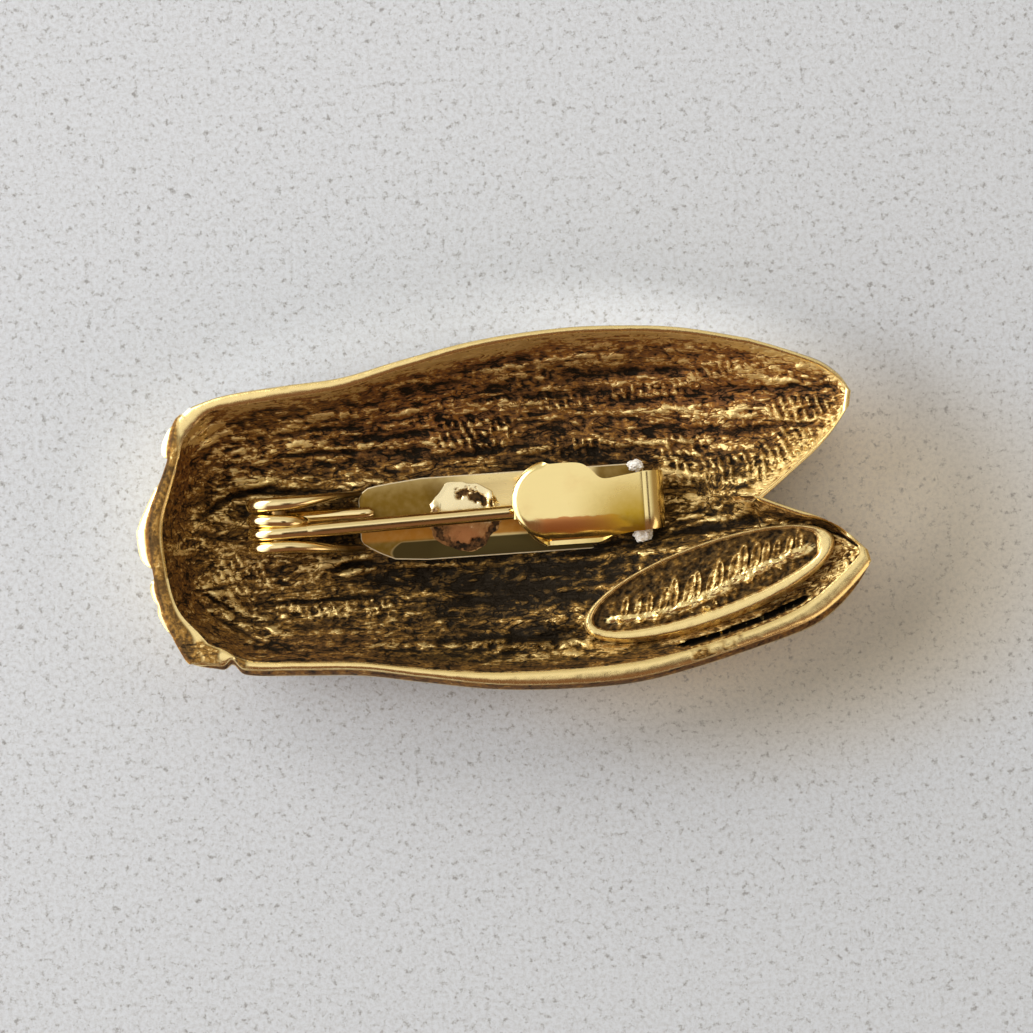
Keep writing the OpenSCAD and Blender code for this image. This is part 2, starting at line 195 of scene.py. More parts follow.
castBody = {
    "rows": 236,
    "wingRows": 54,
    "halfColumns": 80,
    "rimTop": 8.2,
    # x, width of the rim on the upper and the lower side
    "rimWidths": [
        (-25, 0.6, 0.6),
        (-21, 0.72, 0.62),
        (-17, 0.84, 0.5),
        (-12, 0.76, 0.46),
        (-6, 0.6, 0.52),
        (0, 0.48, 0.82),
        (8, 0.42, 0.98),
        (15, 0.42, 0.84),
        (19, 0.36, 0.95),
        (22.5, 0.34, 1.25),
        (25.1, 0.34, 1.1),
    ],
    "forkRim": 0.36,
    "headRim": 0.98,
    "rimCrown": 0.12,
    "rimSteps": 7,
    "wall": 1.15,
    # how far the upper and the lower wall bulge out below the rim
    "rolls": (0.3, -0.9),
    "veinHeight": 0.35,
    "seatHeight": 2.36,
    # x, upper y, lower y
    "sides": [
        (-21.6, 8.5, -8.9),
        (-18.7, 9.3, -9.85),
        (-14.6, 9.7, -10.15),
        (-10.4, 10, -10.45),
        (-6.3, 10.9, -11.2),
        (-1, 11.9, -12.1),
        (4.8, 12.35, -12.4),
        (9, 12.25, -12.2),
        (13, 11.85, -11.4),
        (17.6, 10.82, -10.18),
    ],
    # step, outer x, outer y, inner x, inner y
    "wings": (
        [
            (0, 17.6, 10.82, 17.6, -0.45),
            (1, 19.4, 10.18, 18.9, 0.5),
            (2, 21.1, 9.5, 20.3, 1.6),
            (3, 22.6, 8.8, 21.8, 2.8),
            (4, 23.8, 7.8, 23.1, 4.1),
            (5, 24.5, 6.7, 24.3, 5.7),
        ],
        [
            (0, 17.6, -10.18, 17.6, -0.45),
            (1, 19.5, -9.6, 18.8, -1),
            (2, 21.1, -8.95, 20.1, -1.55),
            (3, 22.6, -7.95, 21.6, -2.15),
            (4, 24, -6.7, 23.3, -3.15),
            (5, 25.1, -5.5, 24.9, -4.7),
        ],
    ),
    # x, rim below its top, front above the surface
    "heights": [
        (-25, 1.6, 1.6),
        (-20, 1, 1.2),
        (-12, 0.25, 0.85),
        (-4, 0, 0.8),
        (4, 0.15, 0.8),
        (12, 0.8, 1.2),
        (18, 1.7, 2.1),
        (22, 2.3, 3),
        (25.1, 2.8, 4),
    ],
    # x, y, length, width, height on the front
    "domes": [
        (-20.2, 6.6, 2.4, 2.4, 1.9),
        (-20.2, -6.6, 2.4, 2.4, 1.9),
        (-21.5, 0, 2, 3, 0.8),
        (-17.4, 0, 0.8, 9, -0.7),
        (-15.3, 3.6, 1.2, 4, 0.35),
        (-15.3, -3.6, 1.2, 4, 0.35),
        (-13.1, 0, 0.8, 9, -0.6),
        (-9.8, 4.4, 3, 2.4, 0.85),
        (-9.8, -4.4, 3, 2.4, 0.85),
        (-8.2, 0, 2.6, 1.6, 0.5),
        (-4.8, 0, 0.9, 4, -0.5),
        (7, 0.15, 11, 0.9, -0.55),
        (8, 5.2, 9, 2.8, 0.5),
        (8, -5.2, 9, 2.8, 0.5),
    ],
    # share of the half width at each vein, and the rows of the cross veins
    "veins": (0.164, 0.302, 0.465, 0.65, 0.854),
    "crossVeins": (22, 26, 30, 34, 38, 42),
    # a cross vein's sway in rows and how often it sways, its width and height beside a long one's
    "crossForm": (1.6, 14, 9, 0.55),
    # share of the half width where the cross veins start and over which they rise
    "crossStart": (0.13, 0.05),
    # minus y along the brow and how far it stands out there
    "brow": [
        (-8.1, 0),
        (-7.6, 0.08),
        (-7.2, 0.28),
        (-6.5, 0.52),
        (-5.7, 0.5),
        (-5.15, 0.05),
        (-4.6, 0.12),
        (-3.6, 0.16),
        (-2.9, 0.28),
        (-1.7, 0.48),
        (-1, 0.66),
        (-0.4, 0.76),
        (0.9, 0.76),
        (2, 0.62),
        (2.6, 0.15),
        (3.3, 0.15),
        (3.9, 0.4),
        (4.7, 0.38),
        (5.1, 0.2),
        (5.7, 0.36),
        (6.5, 0.3),
        (7.2, 0.15),
        (7.9, 0.12),
        (8.7, 0),
    ],
    # minus y and how far the head's edge lies right of its even curve there
    "headShift": [
        (-10, 0),
        (-9, 0.12),
        (-7.5, 0.45),
        (-6.6, 0.75),
        (-5.2, 1),
        (-3.2, 0.83),
        (-1.05, 0.42),
        (0.85, 0.3),
        (2.6, 0.22),
        (4.4, 0),
        (5.9, -0.22),
        (7.4, -0.45),
        (8.2, -0.55),
        (9.2, -0.5),
        (10.5, -0.2),
    ],
    # x, y, reach, shift in x and y, extra rim width and its reach for each corner of the head
    "corners": [
        (-21.75, 8.5, 0.55, 0.1, -0.24, 0.75, 1.5),
        (-21.7, -8.9, 1.2, -0.05, -0.42, 0.95, 2.3),
    ],
    # how much of a corner's extra width moves the hollow's edge in
    "cornerPush": 0.75,
    # x, half width and depth of the notch behind the lower eye, y where it starts and its fade
    "notch": (-19.2, 0.42, 0.62, -8.6, 1),
    # x where the head's shift starts and the length over which it comes in
    "shiftStart": (-19.5, 4.5),
}

# Powers and reaches that spread the rows and shape the outline and the hollow
castForm = {
    "rowPower": 1.3,
    "rowSpacing": 0.85,
    "columnPowers": (1.25, 1.12),
    # how far the head's edge lies ahead of its row, and the power by which that ends
    "headLead": (3, 6),
    "lagPower": 0.85,
    "fallPower": 4.5,
    # reach and power of the hollow's fall behind the nose, speed and power at the wing tips
    "nose": (12, 3.5),
    "tail": (1.5, 3),
    "forkReach": 4.7,
    # the line between the wings: y, its drop, where that starts and over what length
    "middle": (0.15, 0.6, 11, 6.6),
    # x where the wings' veins start and the length over which they come in
    "wingStart": (-9, 4),
    # share of the half width over which a wall bulges, and how far the lower one stands in
    "rollShare": 0.09,
    "rollInset": 0.46,
}
# The outline's rows run from the head to the fork, and then on along each wing; a place on the
# casting is its row i, its share w of the half width, and its side, 0 for upper and 1 for lower
sourceRows, sourceWingRows = 31, 15
headX, forkX = -24.75, castBody["sides"][-1][0]

plaqueShape = {
    "at": (13.85, -5.78, 5.05),
    "turn": math.radians(15.9),
    "lean": math.radians(0.6),
    "length": 18,
    "width": 5.4,
    "height": 0.9,
}


# Where a row meets the line between the wings; the wings' own rows stay at the fork
def rowX(i):
    way = np.minimum(i, sourceRows) / sourceRows
    return headX + (forkX - headX) * way ** castForm["rowPower"]


# Place of a row in the table of the wings
def wingStep(i):
    return castBody["wings"][0][-1][0] * (i - sourceRows) / sourceWingRows


def outerEdge(i, side):
    lead, power = castForm["headLead"]
    x = rowX(i) + lead * (1 - np.minimum(i, sourceRows) / sourceRows) ** power
    wing = castBody["wings"][side]
    free = i > sourceRows
    return (
        np.where(free, curveAt(wing, 1, wingStep(i)), x),
        np.where(free, curveAt(wing, 2, wingStep(i)), curveAt(castBody["sides"], side + 1, x)),
    )


def innerEdge(i, side):
    y, drop, start, length = castForm["middle"]
    wing = castBody["wings"][side]
    free = i > sourceRows
    return (
        np.where(free, curveAt(wing, 3, wingStep(i)), rowX(i)),
        np.where(free, curveAt(wing, 4, wingStep(i)), y - drop * ease((rowX(i) - start) / length)),
    )


# Points from the outer edge (w = 0) to the line between the wings (w = 1)
def across(i, w, side):
    ax, ay = outerEdge(i, side)
    bx, by = innerEdge(i, side)
    lag = np.where(i > sourceRows, w, np.sin(math.pi / 2 * w ** castForm["lagPower"]))
    return ax + (bx - ax) * lag, ay + (by - ay) * w


# 1 where the wings are apart and 0 where they are joined
def forked(i):
    reach = castForm["forkReach"]
    return np.where(i > sourceRows, 1, ease((rowX(i) - forkX + reach) / reach))


# Rises from 0 at the head's edge to 1
def nose(i):
    reach, power = castForm["nose"]
    return 1 - (1 - clip01((rowX(i) - headX) / reach)) ** power


# 1 up to the fork, and then down to 0 at the wing tips
def tail(i):
    speed, power = castForm["tail"]
    last = sourceRows + sourceWingRows
    end = 1 - (1 - clip01(speed * (last - i) / sourceWingRows)) ** power
    return np.where(i > sourceRows, end, 1)


# How far the casting has fallen from the rim: 0 at its edges, 1 at the middle
def fall(i, w):
    power = castForm["fallPower"]
    return (1 - (1 - w) ** power) * (1 - w**power * forked(i)) * nose(i) * tail(i)


def rimHeight(x):
    return castBody["rimTop"] - curveAt(castBody["heights"], 1, x)


def frontHeight(x):
    return curveAt(castBody["heights"], 2, x)


# Long veins and the cross veins between them, from 0 to 1
def veinRelief(i, w, thick):
    sway, waves, width, height = castBody["crossForm"]
    start, rise = castBody["crossStart"]
    lines = sum(dome((w - at) / thick) for at in castBody["veins"])
    swayed = sway * np.sin(waves * w)
    crossing = sum(dome((i - at + swayed) / (thick * width)) for at in castBody["crossVeins"])
    return np.maximum(clip01(lines), height * clip01(crossing) * ease((w - start) / rise))


def wingPart(x):
    start, length = castForm["wingStart"]
    return ease((x - start) / length)


# The lower half stands in by a share of its wall's bulge
def insetOf(side):
    return 0 if side == 0 else -castForm["rollInset"] * abs(castBody["rolls"][1])


# Rounds the head's corners and, for the hollow, widens the rim there
def roundCorners(x, y, side, hollow):
    cornerX, cornerY, reach, shiftX, shiftY, extra, wideReach = castBody["corners"][side]
    near = dome(np.hypot(x - cornerX, y - cornerY) / reach)
    wide = dome(np.hypot(x - cornerX, y - cornerY) / wideReach) * extra * hollow
    inward = -1 if side == 0 else 1
    notchX, notchHalf, depth, notchY, fade = castBody["notch"]
    notch = 0 if side == 0 or hollow else depth * dome((x - notchX) / notchHalf) * ease((notchY - y) / fade)
    start, length = castBody["shiftStart"]
    x = x + curveAt(castBody["headShift"], 1, -y) * ease((start - x) / length)
    push = castBody["cornerPush"]
    return x + shiftX * near + push * wide, y + shiftY * near + inward * push * wide + notch


bodySteps = np.linspace(0, 1, castBody["rows"] + 1)
wingSteps = np.linspace(0, 1, castBody["wingRows"] + 1)[1:]
bodyPlaces = sourceRows * bodySteps ** castForm["rowSpacing"]
rowPlaces = np.concatenate([bodyPlaces, sourceRows + sourceWingRows * wingSteps])[:, None]

frontFace = {
    "veinWidth": 0.018,
    "facetHeight": 0.035,
    # waves a millimetre and height of the body's segments, x where they end and the fade
    "segments": (4.2, 0.05, -9, 2),
    # rows over which the brow stands out and over which its ledge fades
    "browRows": 2.4,
    "browFade": 1.2,
    # brow that counts as a full ledge, and its drop for each millimetre that it stands out
    "browFull": 0.2,
    "browDrop": 0.52,
    "lowest": 0.1,
    # x where the bright head starts and the length over which it comes in
    "head": (-20.5, 2),
    # share of the half width and half width of the pale line along the edge
    "edgeLine": (0.042, 0.02),
}


# Points and mask values of the front of one half
def outerSkin(side):
    i = rowPlaces
    w = np.linspace(0, 1, castBody["halfColumns"] + 1)[None, :] ** castForm["columnPowers"][0]
    x, y = across(i, w, side)
    x, y = roundCorners(x, y, side, 0)
    bulge = np.sin(math.pi * clip01(w / castForm["rollShare"])) * castBody["rolls"][side] * nose(i) * tail(i)
    f = fall(i, w)
    relief = sum(h * dome((x - a) / p) * dome((y - b) / q) for a, b, p, q, h in castBody["domes"])
    veins = veinRelief(i, w, frontFace["veinWidth"]) * wingPart(x)
    facets = grain(x, y, 1.3, 1.7, 5.1, 3)
    waves, height, end, fade = frontFace["segments"]
    segments = np.sin(x * waves + 0.3 * np.sin(y)) * ease((end - x) / fade) * height
    detail = castBody["veinHeight"] * veins + frontFace["facetHeight"] * facets + segments
    z = rimHeight(x) - (rimHeight(x) - frontHeight(x)) * f - (relief + detail) * f
    # the brow stands out as a lit ledge before the front falls away
    brow = curveAt(castBody["brow"], 1, -y)
    swell = np.sin(math.pi * clip01(i / frontFace["browRows"]))
    ledge = clip01(brow / frontFace["browFull"])
    x = x - ((x - x[:1]) * ledge + brow) * swell
    kept = ease((frontFace["browRows"] - i) / frontFace["browFade"])
    z = z + (z[:1] - frontFace["browDrop"] * brow * swell - z) * ledge * kept
    z = np.maximum(z, frontFace["lowest"])
    points = np.stack([x, y + bulge - insetOf(side), z], axis=-1)
    local = detail - blurred(detail, 6)
    near = ease(1 - f / 0.3)
    start, length = frontFace["head"]
    atHead = ease((start - x) / length)
    under = dome(i / 0.3) * atHead
    at, half = frontFace["edgeLine"]
    edgeLine = 0.75 * dome((w - at) / half) * (1 - atHead)
    lip = 0.7 * ease(1 - f / 0.035) * (1 - atHead)
    return points, {
        "relief": clip01(0.5 + 2.2 * local + 0.12 * facets),
        "polish": clip01(0.1 + edgeLine + 0.3 * veins + 0.9 * atHead - under + lip),
        "stain": 0.02 - 0.12 * near * (1 - atHead) + 0.5 * atHead - 0.6 * under,
        "warmth": 0.15 + 0.45 * near,
        "streak": 0.5 - 0.3 * atHead,
    }


# Place in the plaque's own plane, along and across it
def plaquePlace(x, y):
    dx, dy = x - plaqueShape["at"][0], y - plaqueShape["at"][1]
    c, s = math.cos(plaqueShape["turn"]), math.sin(plaqueShape["turn"])
    return dx * c + dy * s, dy * c - dx * s


# Every mark that the photo shows in the hollow, placed one by one
hollowMarks = {
    # long cast ridges left in the hollow: x, y, half length, half width, slant, height
    "streaks": [
        (-5.4, -8.2, 1.3, 0.1, -0.03, 0.4),
        (-2.4, -8.75, 1.1, 0.12, -0.02, 0.8),
        (0.3, -9.3, 1.5, 0.15, 0, 1.1),
        (3.1, -9.5, 1.4, 0.14, 0.03, 1.1),
        (-0.4, -8.85, 1, 0.1, 0, 0.7),
        (5.4, -9.2, 1.4, 0.12, 0.04, 0.8),
        (-6, 9.2, 2.2, 0.1, 0.08, 0.4),
        (-2.6, 9.75, 2, 0.1, 0.1, 0.4),
        (1.4, 10.05, 2.4, 0.1, 0.07, 0.4),
        (6.4, 10.2, 2.4, 0.1, 0.02, 0.4),
        (0.2, 9.3, 1.9, 0.34, 0.02, 0.24),
        (3.1, 9.05, 1.5, 0.42, 0.02, 0.26),
        (6.1, 9.8, 1.7, 0.4, 0.03, 0.26),
        (9.5, 10.6, 3.2, 0.22, -0.06, 0.2),
        (-3.4, 7.6, 3.4, 0.38, 0.02, 0.3),
        (-11, 7.3, 2.9, 0.34, 0.05, 0.26),
        (-6.8, 6.5, 4, 0.3, 0.05, 0.26),
        (-12, 5.45, 3.9, 0.24, -0.02, 0.26),
        (-20.4, 7.35, 1.4, 0.14, 0.62, 0.42),
        (-20, 6.85, 1.4, 0.14, 0.62, 0.4),
        (-19.6, 6.4, 1.3, 0.13, 0.6, 0.34),
        (-10.4, -3.4, 1.1, 0.13, 0.1, 0.42),
        (-17.6, 6.2, 2.6, 0.3, 0.08, 0.24),
        (-17.7, 5.2, 1.9, 0.34, 0.02, 0.28),
        (-17.9, 4.3, 1.9, 0.26, 0.14, 0.26),
        (-18.2, 3.5, 1.5, 0.22, 0.2, 0.24),
        (4.2, 6.9, 3, 0.24, 0.02, 0.2),
        (10.8, 7.8, 3.2, 0.34, -0.02, 0.22),
        (15.7, 8.95, 2.1, 0.3, -0.1, 0.22),
        (20.4, 7.75, 1.7, 0.16, -0.06, 0.3),
        (19.9, 8.5, 1.9, 0.13, -0.34, 0.26),
        (14.6, 6.3, 4.2, 0.2, -0.12, 0.22),
        (20.3, 4.95, 2.2, 0.15, -0.22, 0.32),
        (13.4, 4.2, 2.1, 0.3, 0.04, 0.18),
        (12.8, 3.2, 2, 0.16, 0.06, 0.2),
        (16.3, 0.2, 2.6, 0.22, 0.02, 0.26),
        (15.8, -0.7, 3.2, 0.3, 0.06, 0.34),
        (13.2, -1.5, 2.4, 0.22, 0.08, 0.24),
        (-19.6, -4.6, 1.1, 0.34, -0.75, 0.4),
        (-18, -5.75, 1.3, 0.36, -0.62, 0.44),
        (-19.3, -6, 1, 0.16, -0.62, 0.26),
        (-15.2, -5.6, 0.7, 0.36, 0.02, 0.26),
        (-12.4, -5.9, 1.5, 0.5, 0.02, 0.26),
        (-9.4, -6.1, 0.5, 0.5, 0, 0.26),
        (-8.1, -5.8, 0.3, 0.5, 0, 0.22),
        (-12.6, -2.75, 1.7, 0.34, 0.02, 0.34),
        (-8, -8.6, 2.8, 0.14, -0.04, 0.2),
        (-4.6, -8.9, 3, 0.14, -0.05, 0.22),
        (-0.8, -9.4, 1.5, 0.28, -0.06, 0.36),
        (2.8, -10.05, 2.4, 0.26, 0.04, 0.4),
        (1.6, -3, 1.8, 0.16, 0.26, 0.16),
        (7.4, -3.5, 0.7, 0.4, 0.1, 0.24),
        (5.2, -2.4, 3.4, 0.16, 0.2, 0.12),
    ],
    # fields of short strokes across the wings: x, y, half length, half width, lean, height
    "strokes": [
        (-1.6, 5.6, 2.6, 0.95, 0.35, 0.3),
        (5.1, 4.2, 1.7, 0.6, 0.2, 0.22),
        (10.8, 7.7, 3.3, 0.45, 0.15, 0.26),
        (15.7, 8.9, 2, 0.42, 0.3, 0.2),
        (21, 5.8, 1.9, 0.75, 0.3, 0.36),
        (20.4, 4.1, 1, 0.5, 0.6, 0.36),
        (19.6, 2.9, 1.4, 0.6, 0.35, 0.36),
        (16.7, 1.9, 2.1, 0.85, 0.12, 0.4),
        (13.2, 1.9, 1.4, 0.8, 0.1, 0.22),
        (13, 3.8, 1.8, 0.7, 0.25, 0.2),
        (3.8, 7.4, 2.6, 0.5, 0.3, 0.16),
        (8.7, 1.2, 1.7, 1.2, 0.4, 0.2),
        (-15.2, -5.6, 0.8, 0.42, 0.2, 0.3),
        (-12.4, -5.9, 1.4, 0.6, 0.5, 0.24),
        (-9, -6, 0.9, 0.6, 0.4, 0.24),
        (-18.2, -3.1, 1.9, 1.2, 0.5, 0.14),
        (15.6, -9.75, 3.8, 0.4, 0.4, 0.3),
    ],
    # dark grooves: x, y, half length, half width, slant, depth
    "grooves": [
        (-19.6, 1.85, 0.95, 0.2, 0.6, 0.44),
        (-17.6, 2.62, 1.3, 0.2, 0.2, 0.42),
        (-14.8, 2.6, 2, 0.2, -0.1, 0.4),
        (-12.4, 4.9, 2.4, 0.15, -0.02, 0.36),
        (-19.2, -6.6, 1.7, 0.16, -0.62, 0.3),
        (-19.4, -5.3, 1.7, 0.12, -0.66, 0.26),
        (-14, -5, 2.6, 0.14, 0.02, 0.3),
        (-10.6, -2.95, 0.95, 0.2, 0.08, 0.75),
        (-20.2, 7.1, 1.4, 0.1, 0.62, 0.3),
        (-19.8, 6.6, 1.4, 0.1, 0.62, 0.3),
        (-1.4, 9.9, 2.8, 0.5, 0.3, 0.26),
        (2.6, 10.5, 1.7, 0.5, 0.05, 0.24),
        (-6.4, 5.8, 4.6, 0.26, 0.05, 0.22),
        (-1.9, 4.25, 2.4, 0.2, 0.1, 0.34),
        (2.2, 7.9, 4.4, 0.24, 0.02, 0.22),
        (11.6, 9, 4, 0.26, -0.04, 0.26),
        (9.4, 9.2, 0.8, 0.5, 0, 0.35),
        (16.6, 7.4, 4, 0.26, -0.1, 0.26),
        (17.4, 4.6, 3.4, 0.22, -0.04, 0.26),
        (-12.6, 6.4, 3.6, 0.16, 0.05, 0.24),
        (15, -1.9, 3.4, 0.26, 0.12, 0.36),
        (2.3, -8.9, 6, 0.2, -0.1, 0.18),
        (11, -1.9, 4.6, 0.2, 0.2, 0.22),
    ],
    # patches where the hollow is lighter or darker, partly its own patina and partly painted light and
    # shade: x, y, half length, half width, shade, warmth
    "patches": [
        (0.4, -9.4, 6.5, 0.8, -0.3, -0.2),
        (0.8, -4.8, 7.2, 2.7, -0.72, -0.1),
        (-12.7, -2.8, 0.8, 0.4, 0.34, -0.1),
        (-10.4, -3.4, 0.9, 0.2, 0.5, -0.1),
        (-20.1, 6.9, 1.6, 0.9, 0.52, 0.2),
        (-9.2, -3.8, 1.7, 1.4, -0.26, 0),
        (-4.9, 6.4, 2, 1.6, -0.1, 0.1),
        (12.5, 8.6, 4.4, 1.2, -0.1, 0.1),
        (-21.9, 7.4, 1.2, 1.2, 0.12, 0),
        (-19.2, 0.4, 1.3, 2.4, 0.1, 0),
        (12, 1.6, 1.7, 1.4, 0.14, -0.1),
        (18.8, 1.3, 1.9, 1.2, 0.26, -0.1),
        (6.6, -8.2, 3.4, 1.2, 0.2, -0.1),
        (19.3, 8, 2, 1.4, 0.18, 0.2),
        (2.5, 3.2, 7, 1.6, -0.3, -0.1),
        (-8.2, 6.4, 2.4, 1.8, -0.2, 0),
        (6.4, 7.4, 4, 2.6, -0.16, 0.1),
        # painted light on the brightly lit corner of the head
        (-21.2, 7.5, 1.5, 1.1, 0.5, 0.1),
        (-19, -2.9, 1.8, 1.8, 0.34, 0),
        # painted highlights at the plaque's left end
        (7.6, -8.4, 2, 0.9, 0.7, -0.1),
        (4.8, -9.4, 2.6, 0.9, 0.22, -0.1),
        (12.2, 1.6, 1.8, 1.6, 0.34, -0.1),
        (18.6, 0.6, 2, 1.4, 0.22, 0),
        (-4, 10.7, 6, 0.7, 0.3, 0.5),
        (-5, 9.3, 6.5, 0.75, -0.16, 0.2),
        (-5, 7.2, 7, 2.6, 0.02, 0.55),
        (9, -2.5, 5, 1.6, -0.16, -0.1),
        (14.5, 7.2, 7, 3.4, 0.1, 0.6),
        (18.5, 9.2, 5, 1.2, 0.1, 0.6),
        (6, 11.2, 8, 0.9, 0.06, 0.6),
        (20.6, 3.9, 1.8, 1.3, 0.34, -0.1),
        (16.6, 1.6, 2.4, 0.9, 0.16, -0.1),
        (15.5, -0.7, 4, 0.8, 0.24, -0.1),
        (-17, -2.2, 4, 2.2, 0.02, 0.1),
        (-17.2, 5, 2.8, 1.7, 0.12, 0.2),
        (-11, -5.8, 4.6, 0.8, 0.2, 0),
        (-18.6, -5.2, 1.9, 0.8, 0.22, 0.1),
        (2.4, -9.9, 4, 0.5, 0.24, -0.1),
        (-22.4, -0.85, 0.7, 1.1, 0.3, 0.1),
        (-20.4, 7, 1.2, 0.9, 0.4, 0.1),
        (-13, -8.3, 6, 1.2, -0.12, 0.3),
        (-22, 3, 1.3, 3, -0.02, 0.2),
        (-22, -4, 1.3, 2.4, 0, 0.2),
        # painted shadow below the hinge
        (-12.2, 0.9, 2, 0.8, -0.36, 0),
        (-11.6, -0.9, 1.6, 0.5, -0.4, 0),
        (16, -9.6, 6, 0.6, 0.2, -0.1),
        (23, -5.7, 1.4, 0.8, 0.3, 0),
    ],
}


hollowFace = {
    # noises: features per millimetre along and across the casting, seed and octaves
    "terraceNoise": (0.2, 0.62, 13.1, 3),
    "fineNoise": (0.8, 2.2, 17.9, 3),
    "crumbNoise": (1.3, 3.6, 23.4, 3),
    "raggedNoise": (1.6, 2.4, 31.6, 3),
    "bandNoise": (0.16, 1.9, 47.3, 3),
    "strokeNoise": (0.5, 0.7, 41.3),
    "facetNoise": (2.1, 2.1, 83.9, 2),
    # two noises that bend the texture: how far, scales and seed
    "warps": [(0.6, 0.16, 0.3, 2.3), (0.25, 0.7, 1.0, 8.7)],
    "terraceLevels": 3,
    # share of a terrace that is its slope, and place and half width of the dark line at its foot
    "terraceSlope": 0.45,
    "terraceFoot": (0.12, 0.12),
    "terraceHeight": 0.07,
    "fineHeight": 0.06,
    "crumbHeight": 0.06,
    "ridgeShare": 0.7,
    "strokePitch": 0.58,
    # heights of the bands, fine grain and crumbs on the smoother wall
    "wallHeights": (0.07, 0.03, 0.02),
    # x where the head's smooth wall starts and the length over which it comes in
    "headStart": (-16, 4),
    # share of the fall where the rough bottom starts, how much later at the head, its fade
    "roughStart": (0.06, 0.36, 0.3),
    # x, y and reach in x and y of the rough places on the smooth wall
    "roughSpots": [(-22.4, -0.85, 0.7, 0.95), (-20, 7, 1.5, 0.9)],
    # side, whether measured from the fork, distance, half width, x where it starts and fade
    "trims": [
        (0, True, 0.6, 0.65, 18.6, 1.5),
        (1, False, 0.5, 0.42, 11, 2),
        (1, True, 1.15, 0.4, 21.2, 1),
    ],
    "trimHeight": 0.2,
    # distance from the fork, half width, x from and its fade, x to and its fade
    "crack": (0.5, 0.26, 21, 0.8, 24.4, 0.5),
    "crackDepth": 0.35,
    "veinWidth": 0.02,
    "veinHeight": 0.16,
    # share of a wing's rows that the hollow takes up
    "wingShare": 0.91,
}
# The seats of the finding and of the plaque
seats = {
    # x and y of the middle, half sizes and the fade round it
    "plate": (0.2, -0.05, 10.2, 2.75, 0.9),
    "gap": 0.1,
    # share of the plaque's oval where its bank starts, the bank's slope and how much more below it
    "bank": (0.94, 0.62, 1.1),
    # further drop past the oval and the share over which it comes in
    "farDrop": (0.25, 0.7),
    # share of the oval up to which the hollow is kept below the plaque, and the fade
    "covered": (1.14, 0.1),
    # the bank's light: width, upper end across the oval and left end along it, each with its fade
    "bankLight": (1.1, 0.4, 0.8, -5.5, 2),
    # distance from the oval, half width, turn, depth and softness of the trench, which is darkened with
    # painted shadow
    "trench": (1.06, 0.22, 0.02, 0.9, 0.08),
    # ends of the trench along the oval and its upper end across it, each with its fade
    "trenchEnds": (-3.9, 1.4, 6.6, 1.2, -0.6, 0.8),
}


# A mark's own coordinates: 0 at its middle and 1 at its half length or half width
def along(x, y, place):
    a, b, length, width, slant = place[:5]
    u = x - a
    v = y - b - slant * u
    return u / length, v / width


# Sum over the patches, each a soft oval, of one column of their table
def patchSum(x, y, column):
    patches = hollowMarks["patches"]
    return sum(p[column] * dome((x - p[0]) / p[2]) * dome((y - p[1]) / p[3]) for p in patches)


# Adds the ridges and strokes to the texture's height and cuts the grooves
def markHollow(height, x, y, warp, ragged):
    for place in hollowMarks["streaks"]:
        u, v = along(x, 0.5 * (y + warp), place)
        height = height + hollowFace["ridgeShare"] * place[5] * dome(u) ** 0.6 * dome(0.8 * v) * ragged
    for place in hollowMarks["grooves"]:
        u, v = along(x, 0.5 * (y + warp), place)
        height = height - place[5] * dome(u) ** 0.6 * dome(v)
    for place in hollowMarks["strokes"]:
        u, v = along(x, y, place[:4] + (0,))
        turns = (x + place[4] * (y - place[1])) / hollowFace["strokePitch"]
        unsteady = 2.2 * grain(x, y, *hollowFace["strokeNoise"])
        stroke = clip01(0.2 + np.sin(2 * math.pi * turns + unsteady)) * ragged
        height = height + place[5] * clip01(1.6 * dome(u**2) * dome(v**2)) * stroke
    return height


# 1 at the head, where the wall is smooth, and 0 behind it
def headward(x):
    start, length = hollowFace["headStart"]
    return ease((start - x) / length)


# Height of the cast texture, how coarse it is, and the dark feet of its terraces
def hollowRelief(x, y, depth, gap):
    warp = y
    for amount, *scalesAndSeed in hollowFace["warps"]:
        warp = warp + amount * grain(x, y, *scalesAndSeed)
    # terraces like the contours of a map
    level = hollowFace["terraceLevels"] * grain(x, warp, *hollowFace["terraceNoise"])
    part = level - np.floor(level)
    terrace = level - part + ease(part / hollowFace["terraceSlope"])
    at, half = hollowFace["terraceFoot"]
    foot = dome((part - at) / half)
    fine = 2.6 * np.abs(grain(x, warp, *hollowFace["fineNoise"])) - 0.6
    crumb = grain(x, warp, *hollowFace["crumbNoise"])
    ragged = clip01(0.75 + 1.5 * grain(x, y, *hollowFace["raggedNoise"]))
    height = hollowFace["terraceHeight"] * terrace + hollowFace["fineHeight"] * fine
    height = markHollow(height + hollowFace["crumbHeight"] * crumb, x, y, warp, ragged)
    start, later, fade = hollowFace["roughStart"]
    coarse = ease((depth - start - later * headward(x)) / fade)
    for spotX, spotY, reachX, reachY in hollowFace["roughSpots"]:
        coarse = coarse + dome((x - spotX) / reachX) * dome((y - spotY) / reachY)
    coarse = clip01(coarse)
    bands = grain(x, gap, *hollowFace["bandNoise"])
    bandHeight, fineHeight, crumbHeight = hollowFace["wallHeights"]
    wall = (bandHeight * bands + fineHeight * fine) * (1 - 0.8 * headward(x)) + crumbHeight * crumb
    return height * coarse + wall * (1 - coarse), coarse, foot * coarse


# The flat seat below the base plate
def seatPlate(x, y, z):
    middleX, middleY, halfX, halfY, fade = seats["plate"]
    off = np.maximum(np.maximum(np.abs(x - middleX) - halfX, np.abs(y - middleY) - halfY), 0)
    return z + (castBody["seatHeight"] - z) * ease(1 - off / fade)


